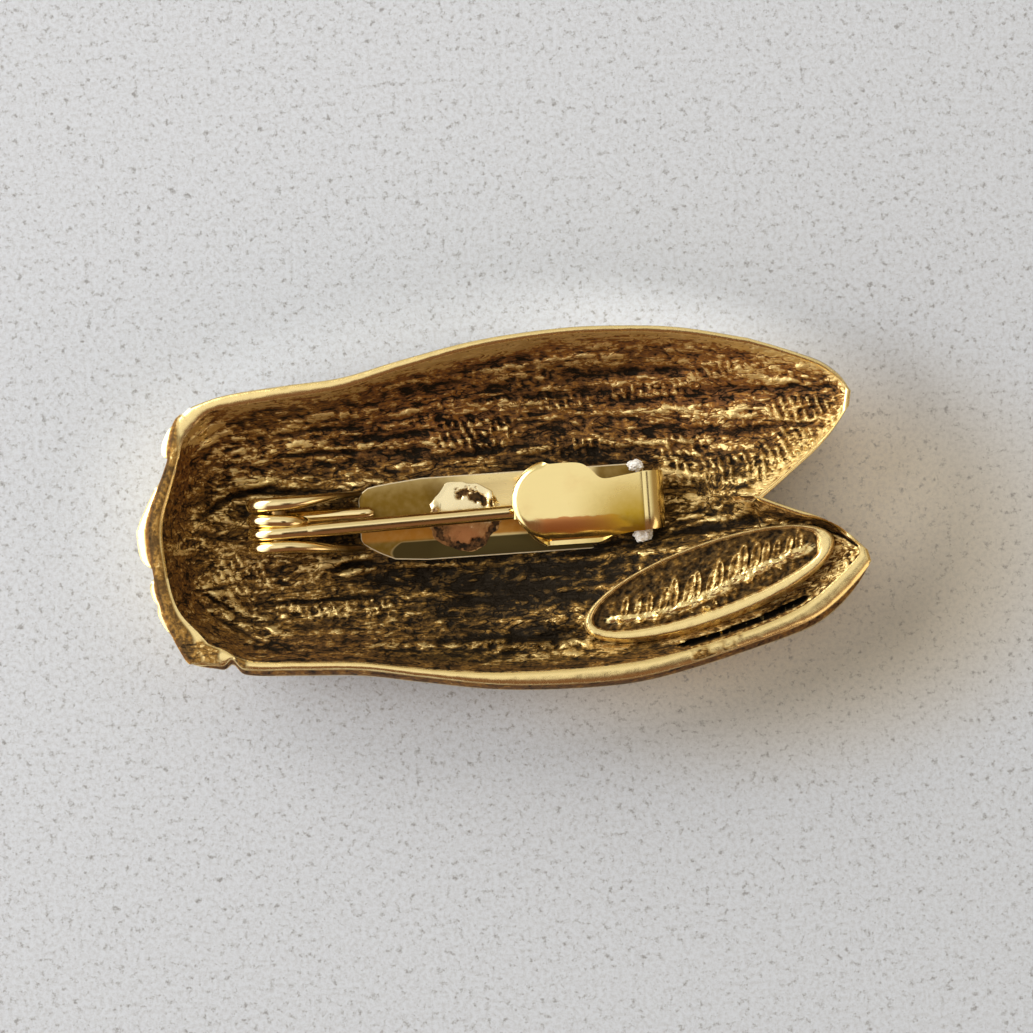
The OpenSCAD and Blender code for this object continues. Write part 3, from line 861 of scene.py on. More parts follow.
# The plaque's seat with the trench below it, and masks of the trench, the seat and its lit bank
def seatPlaque(x, y, z):
    dx, dy = plaquePlace(x, y)
    share = np.sqrt((2 * dx / plaqueShape["length"]) ** 2 + (2 * dy / plaqueShape["width"]) ** 2)
    plane = plaqueShape["at"][2] - dx * math.tan(plaqueShape["lean"])
    start, steep, steeper = seats["bank"]
    beyond = (share - start) * plaqueShape["width"] / 2
    drop = np.maximum(beyond, 0) * (steep + steeper * ease(0.5 - dy / 1.6)) + seats["gap"]
    further, length = seats["farDrop"]
    slope = plane - drop - further * ease((share - 1) / length)
    last, fade = seats["covered"]
    z = z + (np.minimum(z, plane - seats["gap"]) - z) * ease((last - share) / fade)
    left, leftFade, right, rightFade, top, topFade = seats["trenchEnds"]
    ends = ease((top - dy) / topFade) * ease((dx - left) / leftFade) * ease((right - dx) / rightFade)
    far, half, turn, depth, soft = seats["trench"]
    trench = ease((half * ends - np.abs(beyond - far - turn * dx)) / soft)
    width, top, topFade, left, leftFade = seats["bankLight"]
    flare = ease(1 - beyond / width) * (beyond > 0) * ease((top - dy) / topFade)
    flare = flare * ease((dx - left) / leftFade)
    return np.maximum(z, slope) - depth * trench, trench, ease(1 - share), flare


# The hollow's points from above, with their distances from the outer edge and the fork's edge
def hollowPlace(i, w, side):
    free = i > sourceRows
    r = np.where(free, sourceRows + (i - sourceRows) * hollowFace["wingShare"], i)
    ax, ay = outerEdge(r, side)
    bx, by = innerEdge(r, side)
    reach = np.hypot(bx - ax, by - ay)
    edge = curveAt(castBody["rimWidths"], side + 1, ax) / reach
    forkEdge = castBody["forkRim"] / reach * free
    x, y = across(r, edge + (1 - edge - forkEdge) * w, side)
    head = castBody["headRim"] * clip01(1 - i / 4)
    fork = np.where(free, 0, 1.1 * castBody["forkRim"] * forked(i) * w**6)
    x, y = roundCorners(x + head - fork, y, side, 1)
    noFork = 9 * (1 - free)
    return x, y - insetOf(side), w * reach, (1 - w) * reach + noFork


# Facets inside the wings' edges, and the dark crack beside the lower wing's fork edge
def wingTrim(x, gap, forkGap, side):
    trim = sum(
        dome(((forkGap if fromFork else gap) - far) / half) * ease((x - start) / fade)
        for trimSide, fromFork, far, half, start, fade in hollowFace["trims"]
        if trimSide == side
    )
    far, half, start, startFade, end, endFade = hollowFace["crack"]
    crack = side * dome((forkGap - far) / half) * ease((x - start) / startFade) * ease((end - x) / endFade)
    return trim, crack


# What each place adds to the hollow's stain and warmth; more stain is lighter
hollowTones = {
    # the facets inside the wings' edges are lighter: partly rubbed gold, partly a painted highlight where
    # they face the window lamp
    "trim": 0.45,
    # the upper wall just below the rim, and how far down that reaches
    "nearRim": (0.25, 0.5),
    # painted shadow in the trench below the plaque
    "trench": -1.4,
    "crack": -0.9,
    "terraceFoot": -0.12,
    # painted light on the bank below the plaque
    "bank": 0.42,
    "upperWall": 0.5,
    "anyWall": -0.04,
    # warmth of all, how much more the upper wing has, y where that starts and the length of it
    "warmth": (0.08, 0.34, 1, 4),
    "wallWarmth": 0.2,
    "upperWallWarmth": 0.5,
    "bankWarmth": 0.4,
}


# The upper wall is lighter and redder than the lower one, and the head's wall is plain
def hollowFinish(x, y, side, gap, band, shade):
    tones = hollowTones
    upper = 1 - side
    atSide = 1 - headward(x)
    wallTone = tones["upperWall"] * upper * atSide + tones["anyWall"] * atSide
    most, reach = tones["nearRim"]
    stain = shade + most * upper * dome(gap / reach) * atSide
    base, more, start, length = tones["warmth"]
    warm = base + more * ease((y - start) / length) + patchSum(x, y, 5) + tones["wallWarmth"] * band
    return stain, wallTone * band, warm + tones["upperWallWarmth"] * band * atSide * upper


# Points and mask values of the hollow of one half
def innerSkin(side):
    i = rowPlaces
    w = np.linspace(0, 1, castBody["halfColumns"] + 1)[None, :] ** castForm["columnPowers"][1]
    x, y, gap, forkGap = hollowPlace(i, w, side)
    f = fall(i, w)
    detail, coarse, foot = hollowRelief(x, y, f, gap)
    trim, crack = wingTrim(x, gap, forkGap, side)
    facets = grain(x, y, *hollowFace["facetNoise"]) + 0.4 * np.sin(10.5 * x + 2 * y)
    detail = detail + hollowFace["trimHeight"] * clip01(trim) * facets - hollowFace["crackDepth"] * crack
    veins = veinRelief(i, w, hollowFace["veinWidth"]) * wingPart(x) * f**3
    deep = rimHeight(x) - frontHeight(x) - castBody["wall"]
    z, trench, under, flare = seatPlaque(x, y, seatPlate(x, y, rimHeight(x) - deep * f))
    detail = (detail + hollowFace["veinHeight"] * veins) * (1 - 0.7 * flare)
    points = np.stack([x, y, z + detail * (1 - under) * np.minimum(1, 4 * f)], axis=-1)
    local = 0.6 * (detail - blurred(detail, 3)) + 0.4 * (detail - blurred(detail, 8))
    tones = hollowTones
    shade = patchSum(x, y, 4) + tones["trim"] * trim
    stain, wallTone, warm = hollowFinish(x, y, side, gap, 1 - coarse, shade)
    # the trench below the plaque gets painted shadow
    stain = stain + tones["trench"] * trench + tones["crack"] * crack + wallTone
    # the bank below the plaque gets painted light
    stain = stain + tones["terraceFoot"] * foot + tones["bank"] * flare
    # crests in the lighter patches turn to polished gold: partly rubbed wear, partly painted glints
    rubbed = clip01(2.4 * shade - 0.5) * clip01(7 * local)
    return points, {
        "relief": clip01(0.46 + 4.2 * local + 0.3 * detail * coarse),
        "polish": np.maximum(0.75 * ease(1 - f / 0.04), rubbed),
        "stain": stain,
        "warmth": clip01(warm + tones["bankWarmth"] * flare),
        "streak": 1,
    }


# The points round the whole open edge of one skin
def perimeter(upper, lower):
    body = castBody["rows"]
    return np.concatenate(
        [
            upper[:, 0],
            upper[-1, 1:],
            upper[-2:body:-1, -1],
            lower[body:, -1],
            lower[-1, -2::-1],
            lower[-2::-1, 0],
            lower[0, 1:],
            upper[0, -2::-1],
        ]
    )


rimFinish = {
    "nickHeight": 0.03,
    # x where the olive rim of the head starts and the length over which it comes in
    "head": (-21.3, 1),
    # share of the rim's width where its bright inner edge starts, and the fade
    "innerEdge": (0.7, 0.2),
    # the worn lower corner of the head: x, its fade, y and its fade
    "wornCorner": (-17.4, 1.4, -6.6, 1.2),
    # the ragged lower side: x from and its fade, x to and its fade, y and its fade
    "ragged": (9.5, 3.5, 18.4, 2.4, -7, 1),
}


# The crowned rim that joins the two skins; its edge rows carry the skins' own mask values
def rimBand(outer, inner, outerMasks, innerMasks):
    steps = np.linspace(0, 1, castBody["rimSteps"] + 1)[:, None, None]
    rim = outer + (inner - outer) * steps
    steps = steps[..., 0]
    x, y = rim[..., 0], rim[..., 1]
    nick = grain(x, y, 0.8, 0.8, 61.3, 3)
    crown = np.sin(math.pi * steps) ** 0.7
    rim[..., 2] += crown * (castBody["rimCrown"] + rimFinish["nickHeight"] * nick)
    start, length = rimFinish["head"]
    atHead = ease((start - x) / length)
    start, fade = rimFinish["innerEdge"]
    inward = ease((steps - start) / fade)
    olive = atHead * (1 - inward)
    left, leftFade, low, lowFade = rimFinish["wornCorner"]
    worn = ease((left - x) / leftFade) * ease((low - y) / lowFade)
    left, leftFade, right, rightFade, low, lowFade = rimFinish["ragged"]
    ragged = ease((x - left) / leftFade) * ease((right - x) / rightFade) * ease((low - y) / lowFade)
    worn = np.maximum(worn, ragged * (0.75 + 0.6 * nick))
    outline = dome((steps - 0.05) / 0.12)
    masks = {
        "relief": 0.6 + 0.25 * nick - 0.06 * olive,
        "polish": 0.9 + 0.1 * crown - 0.75 * olive - 0.2 * atHead * inward - (0.7 + 0.8 * nick) * worn,
        "stain": 0.1 - 0.1 * olive - 0.1 * worn - 0.4 * olive * outline,
        "warmth": 0.1,
        "streak": 0.1 + 0.45 * worn,
    }
    for key, value in masks.items():
        masks[key] = np.broadcast_to(value, rim.shape[:2]).copy()
        masks[key][0], masks[key][-1] = outerMasks[key], innerMasks[key]
    return layGrid("rim", rim, **masks)


def buildCastBody():
    sheets, loops, borders = [], [], []
    for skin in (outerSkin, innerSkin):
        halves = [skin(side) for side in (0, 1)]
        shape = halves[0][0].shape[:2]
        loops.append(perimeter(halves[0][0], halves[1][0]))
        border = {}
        for key in halves[0][1]:
            border[key] = perimeter(*(np.broadcast_to(masks[key], shape) for _, masks in halves))
        borders.append(border)
        for points, masks in halves:
            sheets.append(layGrid(f"skin{len(sheets)}", points, **masks))
    sheets.append(rimBand(*loops, *borders))
    piece = named(joinPieces(sheets), "castBody")
    facesOut(piece)
    smoothShade(piece, 70)
    return piece


castPiece = buildCastBody()
print("scene: cast body", len(castPiece.data.vertices), "points", len(castPiece.data.polygons), "faces")


plaqueFace = {
    "angles": 320,
    "fieldRings": 90,
    "rimLow": 0.82,
    "rimHigh": 0.2,
    # extra width of the rim at its right end and the angle over which it comes in
    "rimEnd": (0.5, 0.3),
    # how far the wall swells out on the low side
    "flare": 0.22,
    "fieldSink": 0.3,
    "stipple": 0.07,
    "leafStep": 0.86,
    "leafCount": 16,
    "leafLength": 1.7,
    "leafWidth": 0.31,
    "leafHeight": 0.22,
    "stemHeight": 0.24,
    "stemWidth": 0.36,
    # half length of the stem and the length over which it ends
    "stemReach": (7.2, 0.6),
    # width of the polished line along the stem
    "ribbonWidth": 0.38,
    "berries": [
        (-8.85, -0.7),
        (-6.6, -0.25),
        (-5.3, -0.8),
        (-4.1, -0.95),
        (-0.8, -0.95),
        (-0.75, -1.65),
        (2.7, -0.7),
    ],
    "berryWidth": 0.22,
    "berryHeight": 0.22,
    # margin round the sprig along and across the oval, and its fade
    "margin": (0.8, 0.75, 0.12),
}


def stemLine(u):
    return 0.3 * np.sin(0.42 * u) - 0.75 + 0.012 * u**2


# Height of one leaf, its tip up or down; every leaf differs a little in size and angle
def leafHeight(u, v, k):
    foot = (k // 2 - (plaqueFace["leafCount"] - 1) / 2) * plaqueFace["leafStep"]
    base = float(stemLine(foot))
    way = 1 if k % 2 == 0 else -1
    size = (1.12 - 0.05 * abs(foot)) * (1 if way > 0 else 0.36) * (1 + 0.14 * math.sin(2.6 * k))
    angle = way * math.radians(60 + 7 * math.sin(1.7 * k))
    c, s = math.cos(angle), math.sin(angle)
    p = (u - foot) * c + (v - base) * s
    q = (v - base) * c - (u - foot) * s
    length = plaqueFace["leafLength"] * size
    width = plaqueFace["leafWidth"] * size
    ring = np.sqrt(((p - 0.62 * length) / (0.6 * length)) ** 2 + (q / width) ** 2)
    edge = 0.35 * dome((ring - 0.95) / 0.16)
    middleVein = 0.4 * dome(q / 0.09) * (ring < 0.85)
    return plaqueFace["leafHeight"] * (0.75 * ease((1.08 - ring) / 0.25) + edge - middleVein)


# A plain leafy sprig in low relief stands on the sunk field
def sprig(u, v):
    half, fade = plaqueFace["stemReach"]
    reach = ease((half - np.abs(u)) / fade)
    height = plaqueFace["stemHeight"] * dome((v - stemLine(u)) / plaqueFace["stemWidth"]) * reach
    for k in range(2 * plaqueFace["leafCount"]):
        height = np.maximum(height, leafHeight(u, v, k))
    return height


# Inward distance and height of each ring: the underside, the wall, then the rim down to the field
def plaqueRings(rimWidth, flare, short):
    height = plaqueShape["height"]
    return [
        (short * 0.96, 0),
        (short * 0.5, 0),
        (0.02, 0),
        (-flare, 0.12),
        (-0.6 * flare, 0.45),
        (0.02, height - 0.16),
        (0.06, height - 0.06),
        (0.14, height - 0.01),
        (0.3 * rimWidth, height),
        (0.6 * rimWidth, height),
        (0.85 * rimWidth, height - 0.04),
        (rimWidth, height - 0.12),
        (rimWidth + 0.05, height - plaqueFace["fieldSink"]),
    ]


# All rings of points of the plaque, and which of them lie on the field
def plaquePoints(angle, side):
    rimWidth = plaqueFace["rimHigh"] + (plaqueFace["rimLow"] - plaqueFace["rimHigh"]) * ease(side)
    extra, spread = plaqueFace["rimEnd"]
    rimWidth = rimWidth + extra * dome(np.minimum(angle, 2 * math.pi - angle) / spread)
    a, b = plaqueShape["length"] / 2, plaqueShape["width"] / 2
    rings = [(*ring, 1) for ring in plaqueRings(rimWidth, plaqueFace["flare"] * ease(side), b)]
    count = plaqueFace["fieldRings"]
    onField = np.repeat([0, 1], (len(rings), count))[:, None]
    rings += [(*rings[-1][:2], 1 - k / count) for k in range(1, count + 1)]
    points = []
    for inward, z, share in rings:
        x, y = (a - inward) * np.cos(angle) * share, (b - inward) * np.sin(angle) * share
        points.append(np.stack([x, y, z + 0 * angle], axis=-1)[0])
    return np.stack(points), onField


# Closes the open ring in the middle of the underside
def closeUnderside(piece):
    editAll(piece)
    bpy.ops.mesh.select_all(action="DESELECT")
    bpy.ops.mesh.select_non_manifold()
    bpy.ops.mesh.edge_face_add()
    turnOut()


def buildPlaque():
    angle = np.linspace(0, 2 * math.pi, plaqueFace["angles"] + 1)[None, :]
    # 0 on the high side of the oval and 1 on its low side
    side = 0.5 - 0.5 * np.sin(angle)
    points, field = plaquePoints(angle, side)
    u, v, z = points[..., 0], points[..., 1], points[..., 2]
    height = plaqueShape["height"]
    dots = grain(u, v, 2.6, 3.4, 71.3, 3)
    motif = sprig(u, v) * (0.8 + 0.5 * grain(u, v, 1.5, 1.5, 77.7))
    marginU, marginV, fade = plaqueFace["margin"]
    a, b = plaqueShape["length"] / 2, plaqueShape["width"] / 2
    inside = ease((1 - np.hypot(u / (a - marginU), v / (b - marginV))) / fade)
    width = plaqueFace["berryWidth"]
    berries = sum(dome(np.hypot(u - x, v - y) / width) for x, y in plaqueFace["berries"])
    raised = plaqueFace["berryHeight"] * berries * (z > height - 0.35)
    bump = field * (plaqueFace["stipple"] * dots + motif * inside) + raised
    points[..., 2] = z + bump + (1 - field) * 0.012 * dots * (z > height - 0.2)
    onRim = (z > height - 0.1) * (1 - field)
    ribbon = dome((v - stemLine(u)) / plaqueFace["ribbonWidth"]) * clip01(1.2 + 1.2 * dots)
    piece = layGrid(
        "ovalPlaque",
        points,
        relief=clip01(0.5 + field * (2.3 * (bump - 0.04)) + 0.25 * dots),
        polish=onRim * (0.75 + 0.25 * side[0]) + np.maximum(field * inside * ribbon, 1.2 * berries),
        stain=-0.1 * field + 0.34 * field * clip01(motif / 0.2) + 0.42 * (1 - field),
        warmth=0.05 + 0.9 * (1 - onRim) * (1 - field),
    )
    lean = Matrix.Rotation(plaqueShape["lean"], 4, "Y")
    turn = Matrix.Rotation(plaqueShape["turn"], 4, "Z")
    piece.data.transform(Matrix.Translation(Vector(plaqueShape["at"]) * mm) @ turn @ lean)
    facesOut(piece, 0.002)
    closeUnderside(piece)
    smoothShade(piece, 50)
    return piece


plaquePiece = buildPlaque()
print("scene: oval plaque", len(plaquePiece.data.vertices), "points")


basePlate = {
    "low": -9.9,
    "high": 9.9,
    "y": -0.05,
    "width": 5.7,
    "z": 2.45,
    "thick": 0.5,
    "holeX": -2.75,
    "hole": 1.95,
    "holeSides": 96,
    "round": 0.09,
    "roundSteps": 3,
    # x, upper and lower half width of the stamped strip
    "outline": [
        (-9.9, 1.5, 1.1),
        (-9.7, 2.05, 1.5),
        (-9.2, 2.4, 1.85),
        (-8.6, 2.52, 2.2),
        (-7.6, 2.64, 2.66),
        (-5.4, 2.85, 2.85),
        (9.4, 2.85, 2.85),
        (9.75, 2.7, 2.7),
        (9.9, 2.4, 2.4),
    ],
}
coil = {
    "x": -15.45,
    "z": 4.85,
    "radius": 1.4,
    "reachX": 1.74,
    "wire": 0.46,
    # y of the first and the last turn
    "turns": (0.65, -0.35),
    # the tail on the plate: x, y beside the first turn and share of the wire's radius
    "tail": [(-8.9, -0.05, 0.55)] + [(x, -0.02, 1) for x in (-9.2, -10, -11, -12, -13, -14.2)],
    # degrees that the wire turns, its steps, and degrees where it crosses over and for how long
    "turned": 540 + 7.7,
    "steps": 110,
    "crossing": (70, 420),
    "slope": math.radians(7.7),
    "lean": math.radians(1.2),
    "hingeAt": 1.9,
    "stubSteps": 6,
    # past the hinge: distance and share of the wire's radius
    "stubEnd": [(0.2, 0.9), (0.33, 0.68), (0.42, 0.35)],
}


# Where the pin leaves the coil, and the way that it points
def pinLine():
    slope, lean = coil["slope"], coil["lean"]
    x = coil["x"] + coil["radius"] * math.sin(slope)
    z = coil["z"] + coil["radius"] * math.cos(slope)
    level = math.cos(slope)
    aim = Vector((level * math.cos(lean), level * math.sin(lean), -math.sin(slope)))
    return Vector((x, coil["turns"][1], z)), aim


pinRoot, pinDir = pinLine()


def drillHole(piece):
    clearSelection()
    at = Vector((basePlate["holeX"], basePlate["y"], basePlate["z"])) * mm
    radius = basePlate["hole"] * mm
    bpy.ops.mesh.primitive_cylinder_add(
        vertices=basePlate["holeSides"], radius=radius, depth=4 * mm, location=at
    )
    drill = bpy.context.object
    applyModifier(piece, "BOOLEAN", object=drill, operation="DIFFERENCE", solver="EXACT")
    bpy.data.objects.remove(drill)


# A mask on the rounded upper edge, which gets a painted highlight; the hole's edge is left out
def markEdge(piece):
    top = basePlate["z"] + basePlate["thick"]
    edge = []
    for vertex in piece.data.vertices:
        x, y, z = vertex.co / mm
        onEdge = top - 0.7 * basePlate["round"] < z < top - 0.001
        outside = math.hypot(x - basePlate["holeX"], y - basePlate["y"]) > 1.2 * basePlate["hole"]
        edge.append(float(onEdge and outside))
    setMask(piece, "edge", edge)


def buildBasePlate():
    clearSelection()
    low, high, y = basePlate["low"], basePlate["high"], basePlate["y"]
    centre = Vector(((high + low) / 2, y, basePlate["z"] + basePlate["thick"] / 2))
    size = ((high - low) * mm, basePlate["width"] * mm, basePlate["thick"] * mm)
    bpy.ops.mesh.primitive_cube_add(size=1, location=centre * mm, scale=size)
    piece = named(bpy.context.object, "basePlate")
    settle(piece)
    for x, _, _ in basePlate["outline"][1:-1]:
        editAll(piece)
        bpy.ops.mesh.bisect(plane_co=(x * mm, 0, 0), plane_no=(1, 0, 0))
        bpy.ops.object.mode_set(mode="OBJECT")
    widths = np.array(basePlate["outline"])
    for vertex in piece.data.vertices:
        column = 1 if vertex.co.y > 0 else 2
        half = float(np.interp(vertex.co.x / mm, widths[:, 0], widths[:, column]))
        vertex.co.y = (y + (half if column == 1 else -half)) * mm
    drillHole(piece)
    roundEdges(piece, basePlate["round"], basePlate["roundSteps"], 0.6)
    markEdge(piece)
    smoothShade(piece, 35)
    return piece


platePiece = buildBasePlate()


catch = {
    "tip": (3.35, 0.65),
    "radius": 2.45,
    "foldX": 9.88,
    "foldRadius": 0.87,
    "upright": 0.45,
    "thick": 0.45,
    "round": 0.06,
    "top": 5.2,
    "lipRadius": 1.3,
    "rollFrom": 6.4,
    "rollTo": 9,
    "rollEnd": 0.3,
    "rollMost": math.radians(74),
    "flareRadius": 0.48,
    "flareTo": math.radians(-6),
    "lip": 0.26,
    "endX": 8.9,
    "creaseX": 9.76,
    "crease": 0.03,
    # height of the crown across the strap and the half width that it belongs to
    "crown": (0.05, 2.4),
    # drop round the tip's edge, share of its radius where that starts and its fade
    "tipDrop": (0.2, 0.88, 0.12),
    "columns": 72,
    # power that crowds the columns on the rolled side, and rows of the tip, the flat and the fold
    "crowding": 1.7,
    "tipRows": 14,
    "flatRows": 70,
    "foldRows": 16,
    # x, upper y, lower y past the round tip
    "plan": [
        (3.35, 3.1, -1.72),
        (4.9, 3.1, -1.72),
        (5.7, 2.95, -1.72),
        (6.3, 2.5, -1.72),
        (6.75, 2.02, -1.72),
        (7.2, 1.86, -1.72),
        (8.3, 1.98, -1.7),
        (9.88, 2.2, -1.64),
    ],
}


# y and sink of a point that lies so far along the strap, measured from its upper edge
def rolledPlace(s, high, bendY, roll, flare):
    radius, flareRadius = catch["lipRadius"], catch["flareRadius"]
    flat, arc = high - bendY, roll * radius
    if s <= flat:
        return high - s, 0.0
    turned = min((s - flat) / radius, roll)
    y = catch["bendY"] - radius * math.sin(turned)
    sink = radius * (1 - math.cos(turned))
    if s > flat + arc:
        past = max(s - flat - arc - flare, 0)
        back = roll - (s - flat - arc - past) / flareRadius
        y -= flareRadius * (math.sin(roll) - math.sin(back)) + past
        sink += flareRadius * (math.cos(back) - math.cos(roll))
    return y, sink


# One row of the strap from its lower side to its upper side; bend is how much it rolls
def catchRow(x, z, bend, normalX, normalZ):
    tipX, tipY = catch["tip"]
    if x < tipX:
        half = math.sqrt(max(catch["radius"] ** 2 - (tipX - x) ** 2, 0.01))
        high, low = tipY + half, tipY - half
    else:
        high, low = (float(curveAt(catch["plan"], column, x)) for column in (1, 2))
    rollShare = min(max((catch["bendY"] - low) / catch["lipRadius"], 0), 1)
    roll = min(math.asin(rollShare), catch["rollMost"])
    bendY = max(catch["bendY"], low)
    free = (bend - catch["rollEnd"]) / (1 - catch["rollEnd"])
    flare = max(roll - catch["flareTo"], 0) * catch["flareRadius"] * (0.12 + 0.88 * free)
    full = high - bendY + roll * catch["lipRadius"] + flare + catch["lip"] * rollShare * free
    crownHeight, crownHalf = catch["crown"]
    tipDrop, tipShare, tipFade = catch["tipDrop"]
    row = []
    for k in range(catch["columns"] + 1):
        s = full * (1 - (k / catch["columns"]) ** catch["crowding"])
        y, sink = rolledPlace(s, high, bendY, roll, flare)
        crown = crownHeight * ((y - tipY) / crownHalf) ** 2
        out = math.hypot(x - tipX, y - tipY) / catch["radius"]
        rounded = tipDrop * float(ease((out - tipShare) / tipFade)) * (x < tipX)
        drop = sink * bend + crown * bend + rounded
        row.append((x - drop * normalX, y, z - drop * normalZ))
    return row


# Rows along the round tip, the flat part and down round the fold to the plate
def catchRows():
    tipX = catch["tip"][0]
    rows = []
    for k in range(catch["tipRows"] + 1):
        angle = math.radians(4 + 86 * k / catch["tipRows"])
        rows.append(catchRow(tipX - catch["radius"] * math.cos(angle), catch["top"], 1, 0, 1))
    for x in np.linspace(tipX, catch["foldX"], catch["flatRows"] + 1)[1:]:
        share = ease((x - catch["rollFrom"]) / (catch["rollTo"] - catch["rollFrom"]))
        bend = 1 - (1 - catch["rollEnd"]) * float(share)
        crease = catch["crease"] * float(dome((x - catch["creaseX"]) / 0.07))
        rows.append(catchRow(float(x), catch["top"] - crease, bend, 0, 1))
    centreZ = catch["top"] - catch["foldRadius"]
    count = catch["foldRows"]
    for k in range(1, count + 1):
        angle = math.pi / 2 - math.pi * k / count
        x = catch["foldX"] + catch["foldRadius"] * math.cos(angle)
        lowered = catch["upright"] * min(max((k - 7) / 2, 0), 1)
        z = centreZ + catch["foldRadius"] * math.sin(angle) - lowered
        bend = catch["rollEnd"] * (1 - k / count)
        row = catchRow(catch["foldX"], z, bend, math.cos(angle), math.sin(angle))
        rows.append([(x - catch["foldX"] + px, py, pz) for px, py, pz in row])
    rows.append([(catch["endX"], y, basePlate["z"] + 0.01) for _, y, _ in rows[-1]])
    return np.array(rows)


def buildCatch():
    piece = layGrid("catchStrap", catchRows())
    applyModifier(piece, "SOLIDIFY", thickness=catch["thick"] * mm, offset=-1, use_even_offset=True)
    roundEdges(piece, catch["round"], 3, 0.9)
    smoothShade(piece, 45)
    return piece


# y where the strap starts to roll down
catch["bendY"] = catch["tip"][1] - catch["radius"] + catch["lipRadius"]
catchPiece = buildCatch()


ears = {
    "radius": 1.85,
    # degrees where the round end starts and stops, its steps and how much longer its far side is
    "arc": (82, 275),
    "steps": 27,
    "stretch": 1.18,
    # share of the thickness that is rounded off, and steps of that
    "round": 0.47,
    "roundSteps": 6,
    # x where the arm starts to taper and the length over which it does
    "taper": (-15.2, 5.4),
    # centre y, thickness, shift at the plate, share of the thickness left at the plate
    "pair": [(1.66, 0.98, 0.34, 0.4), (-1.3, 0.86, -0.5, 0.62)],
    # x and z along the back of the arm and its underside
    "back": [
        (-14.9, 6.66),
        (-14.3, 6.55),
        (-13.7, 6.38),
        (-13.1, 6.14),
        (-12.5, 5.8),
        (-11.9, 5.34),
        (-11.3, 4.76),
        (-10.7, 4.1),
        (-9.6, 2.95),
    ],
    "under": [(-9.6, 2.45), (-13.2, 2.9)],
}


def earOutline():
    outline = []
    first, last = ears["arc"]
    for k in range(ears["steps"] + 1):
        angle = math.radians(first + (last - first) * k / ears["steps"])
        stretch = ears["stretch"] if math.cos(angle) < 0 else 1
        x = coil["x"] + stretch * ears["radius"] * math.cos(angle)
        outline.append((x, coil["z"] + ears["radius"] * math.sin(angle)))
    return ears["back"][::-1] + outline + ears["under"][::-1]


def buildEar(name, outline, y, thick, shift, left):
    clearSelection()
    bpy.ops.mesh.primitive_circle_add(vertices=len(outline), radius=mm, fill_type="NGON")
    piece = named(bpy.context.object, name)
    for vertex, (x, z) in zip(piece.data.vertices, outline):
        vertex.co = Vector((x, y + thick / 2, z)) * mm
    editAll(piece)
    bpy.ops.mesh.extrude_region_move(TRANSFORM_OT_translate={"value": (0, -thick * mm, 0)})
    bpy.ops.mesh.select_all(action="SELECT")
    # cut across the arm so that it can taper
    for x, _ in ears["back"][:-1]:
        bpy.ops.mesh.bisect(plane_co=(x * mm, 0, 0), plane_no=(1, 0, 0))
        bpy.ops.mesh.select_all(action="SELECT")
    turnOut()
    roundEdges(piece, ears["round"] * thick, ears["roundSteps"], 0.9, use_clamp_overlap=False)
    start, length = ears["taper"]
    for vertex in piece.data.vertices:
        p = vertex.co / mm
        k = float(ease((p.x - start) / length))
        thin = 1 - (1 - left) * k
        vertex.co.y = (y + shift * k + (p.y - y) * thin) * mm
    smoothShade(piece, 50)
    return piece


def buildEars():
    outline = earOutline()
    return [buildEar(f"hingeEar{k + 1}", outline, *values) for k, values in enumerate(ears["pair"])]


earPieces = buildEars()


# A round wire through points of x, y, z and share of its radius
def wireAlong(name, points, radius, sides=7):
    clearSelection()
    path = bpy.data.curves.new(name, "CURVE")
    path.dimensions = "3D"
    path.bevel_depth = radius * mm
    path.bevel_resolution = sides
    path.use_fill_caps = True
    line = path.splines.new("POLY")
    line.points.add(len(points) - 1)
    for spot, point in zip(line.points, points):
        spot.co = (*(Vector(point[:3]) * mm), 1)
        spot.radius = point[3]
    piece = bpy.data.objects.new(name, path)
    bpy.context.collection.objects.link(piece)
    selectOnly(piece)
    bpy.ops.object.convert(target="MESH")
    piece = named(bpy.context.object, name)
    facesOut(piece, 0.001)
    smoothShade(piece, 50)
    return piece


# The tail on the plate, the turns, and the straight stub that the pin turns on
def buildCoil():
    first, last = coil["turns"]
    points = [(x, first + off, coil["z"] - coil["radius"], share) for x, off, share in coil["tail"]]
    start, length = coil["crossing"]
    for k in range(coil["steps"] + 1):
        t = coil["turned"] * k / coil["steps"]
        y = first + (last - first) * float(ease((t - start) / length))
        x = coil["x"] - coil["reachX"] * math.sin(math.radians(t))
        z = coil["z"] - coil["radius"] * math.cos(math.radians(t))
        points.append((x, y, z, 1))
    steps = coil["stubSteps"]
    stub = [(coil["hingeAt"] * k / steps, 1) for k in range(1, steps + 1)]
    stub += [(coil["hingeAt"] + past, share) for past, share in coil["stubEnd"]]
    points += [(*(pinRoot + pinDir * far), share) for far, share in stub]
    return wireAlong("springCoil", points, coil["wire"])


coilPiece = buildCoil()


pinWire = {
    "radius": 0.51,
    "sides": 36,
    # distance from the hinge and share of the radius
    "profile": [
        (-0.4, 0.3),
        (-0.3, 0.7),
        (-0.12, 0.9),
        (0.2, 0.94),
        (1, 0.96),
        (3.4, 1),
        (9, 1),
        (14.1, 1),
        (15.6, 0.86),
        (17.2, 0.66),
        (18.6, 0.46),
        (19.4, 0.32),
        (19.68, 0.22),
    ],
}


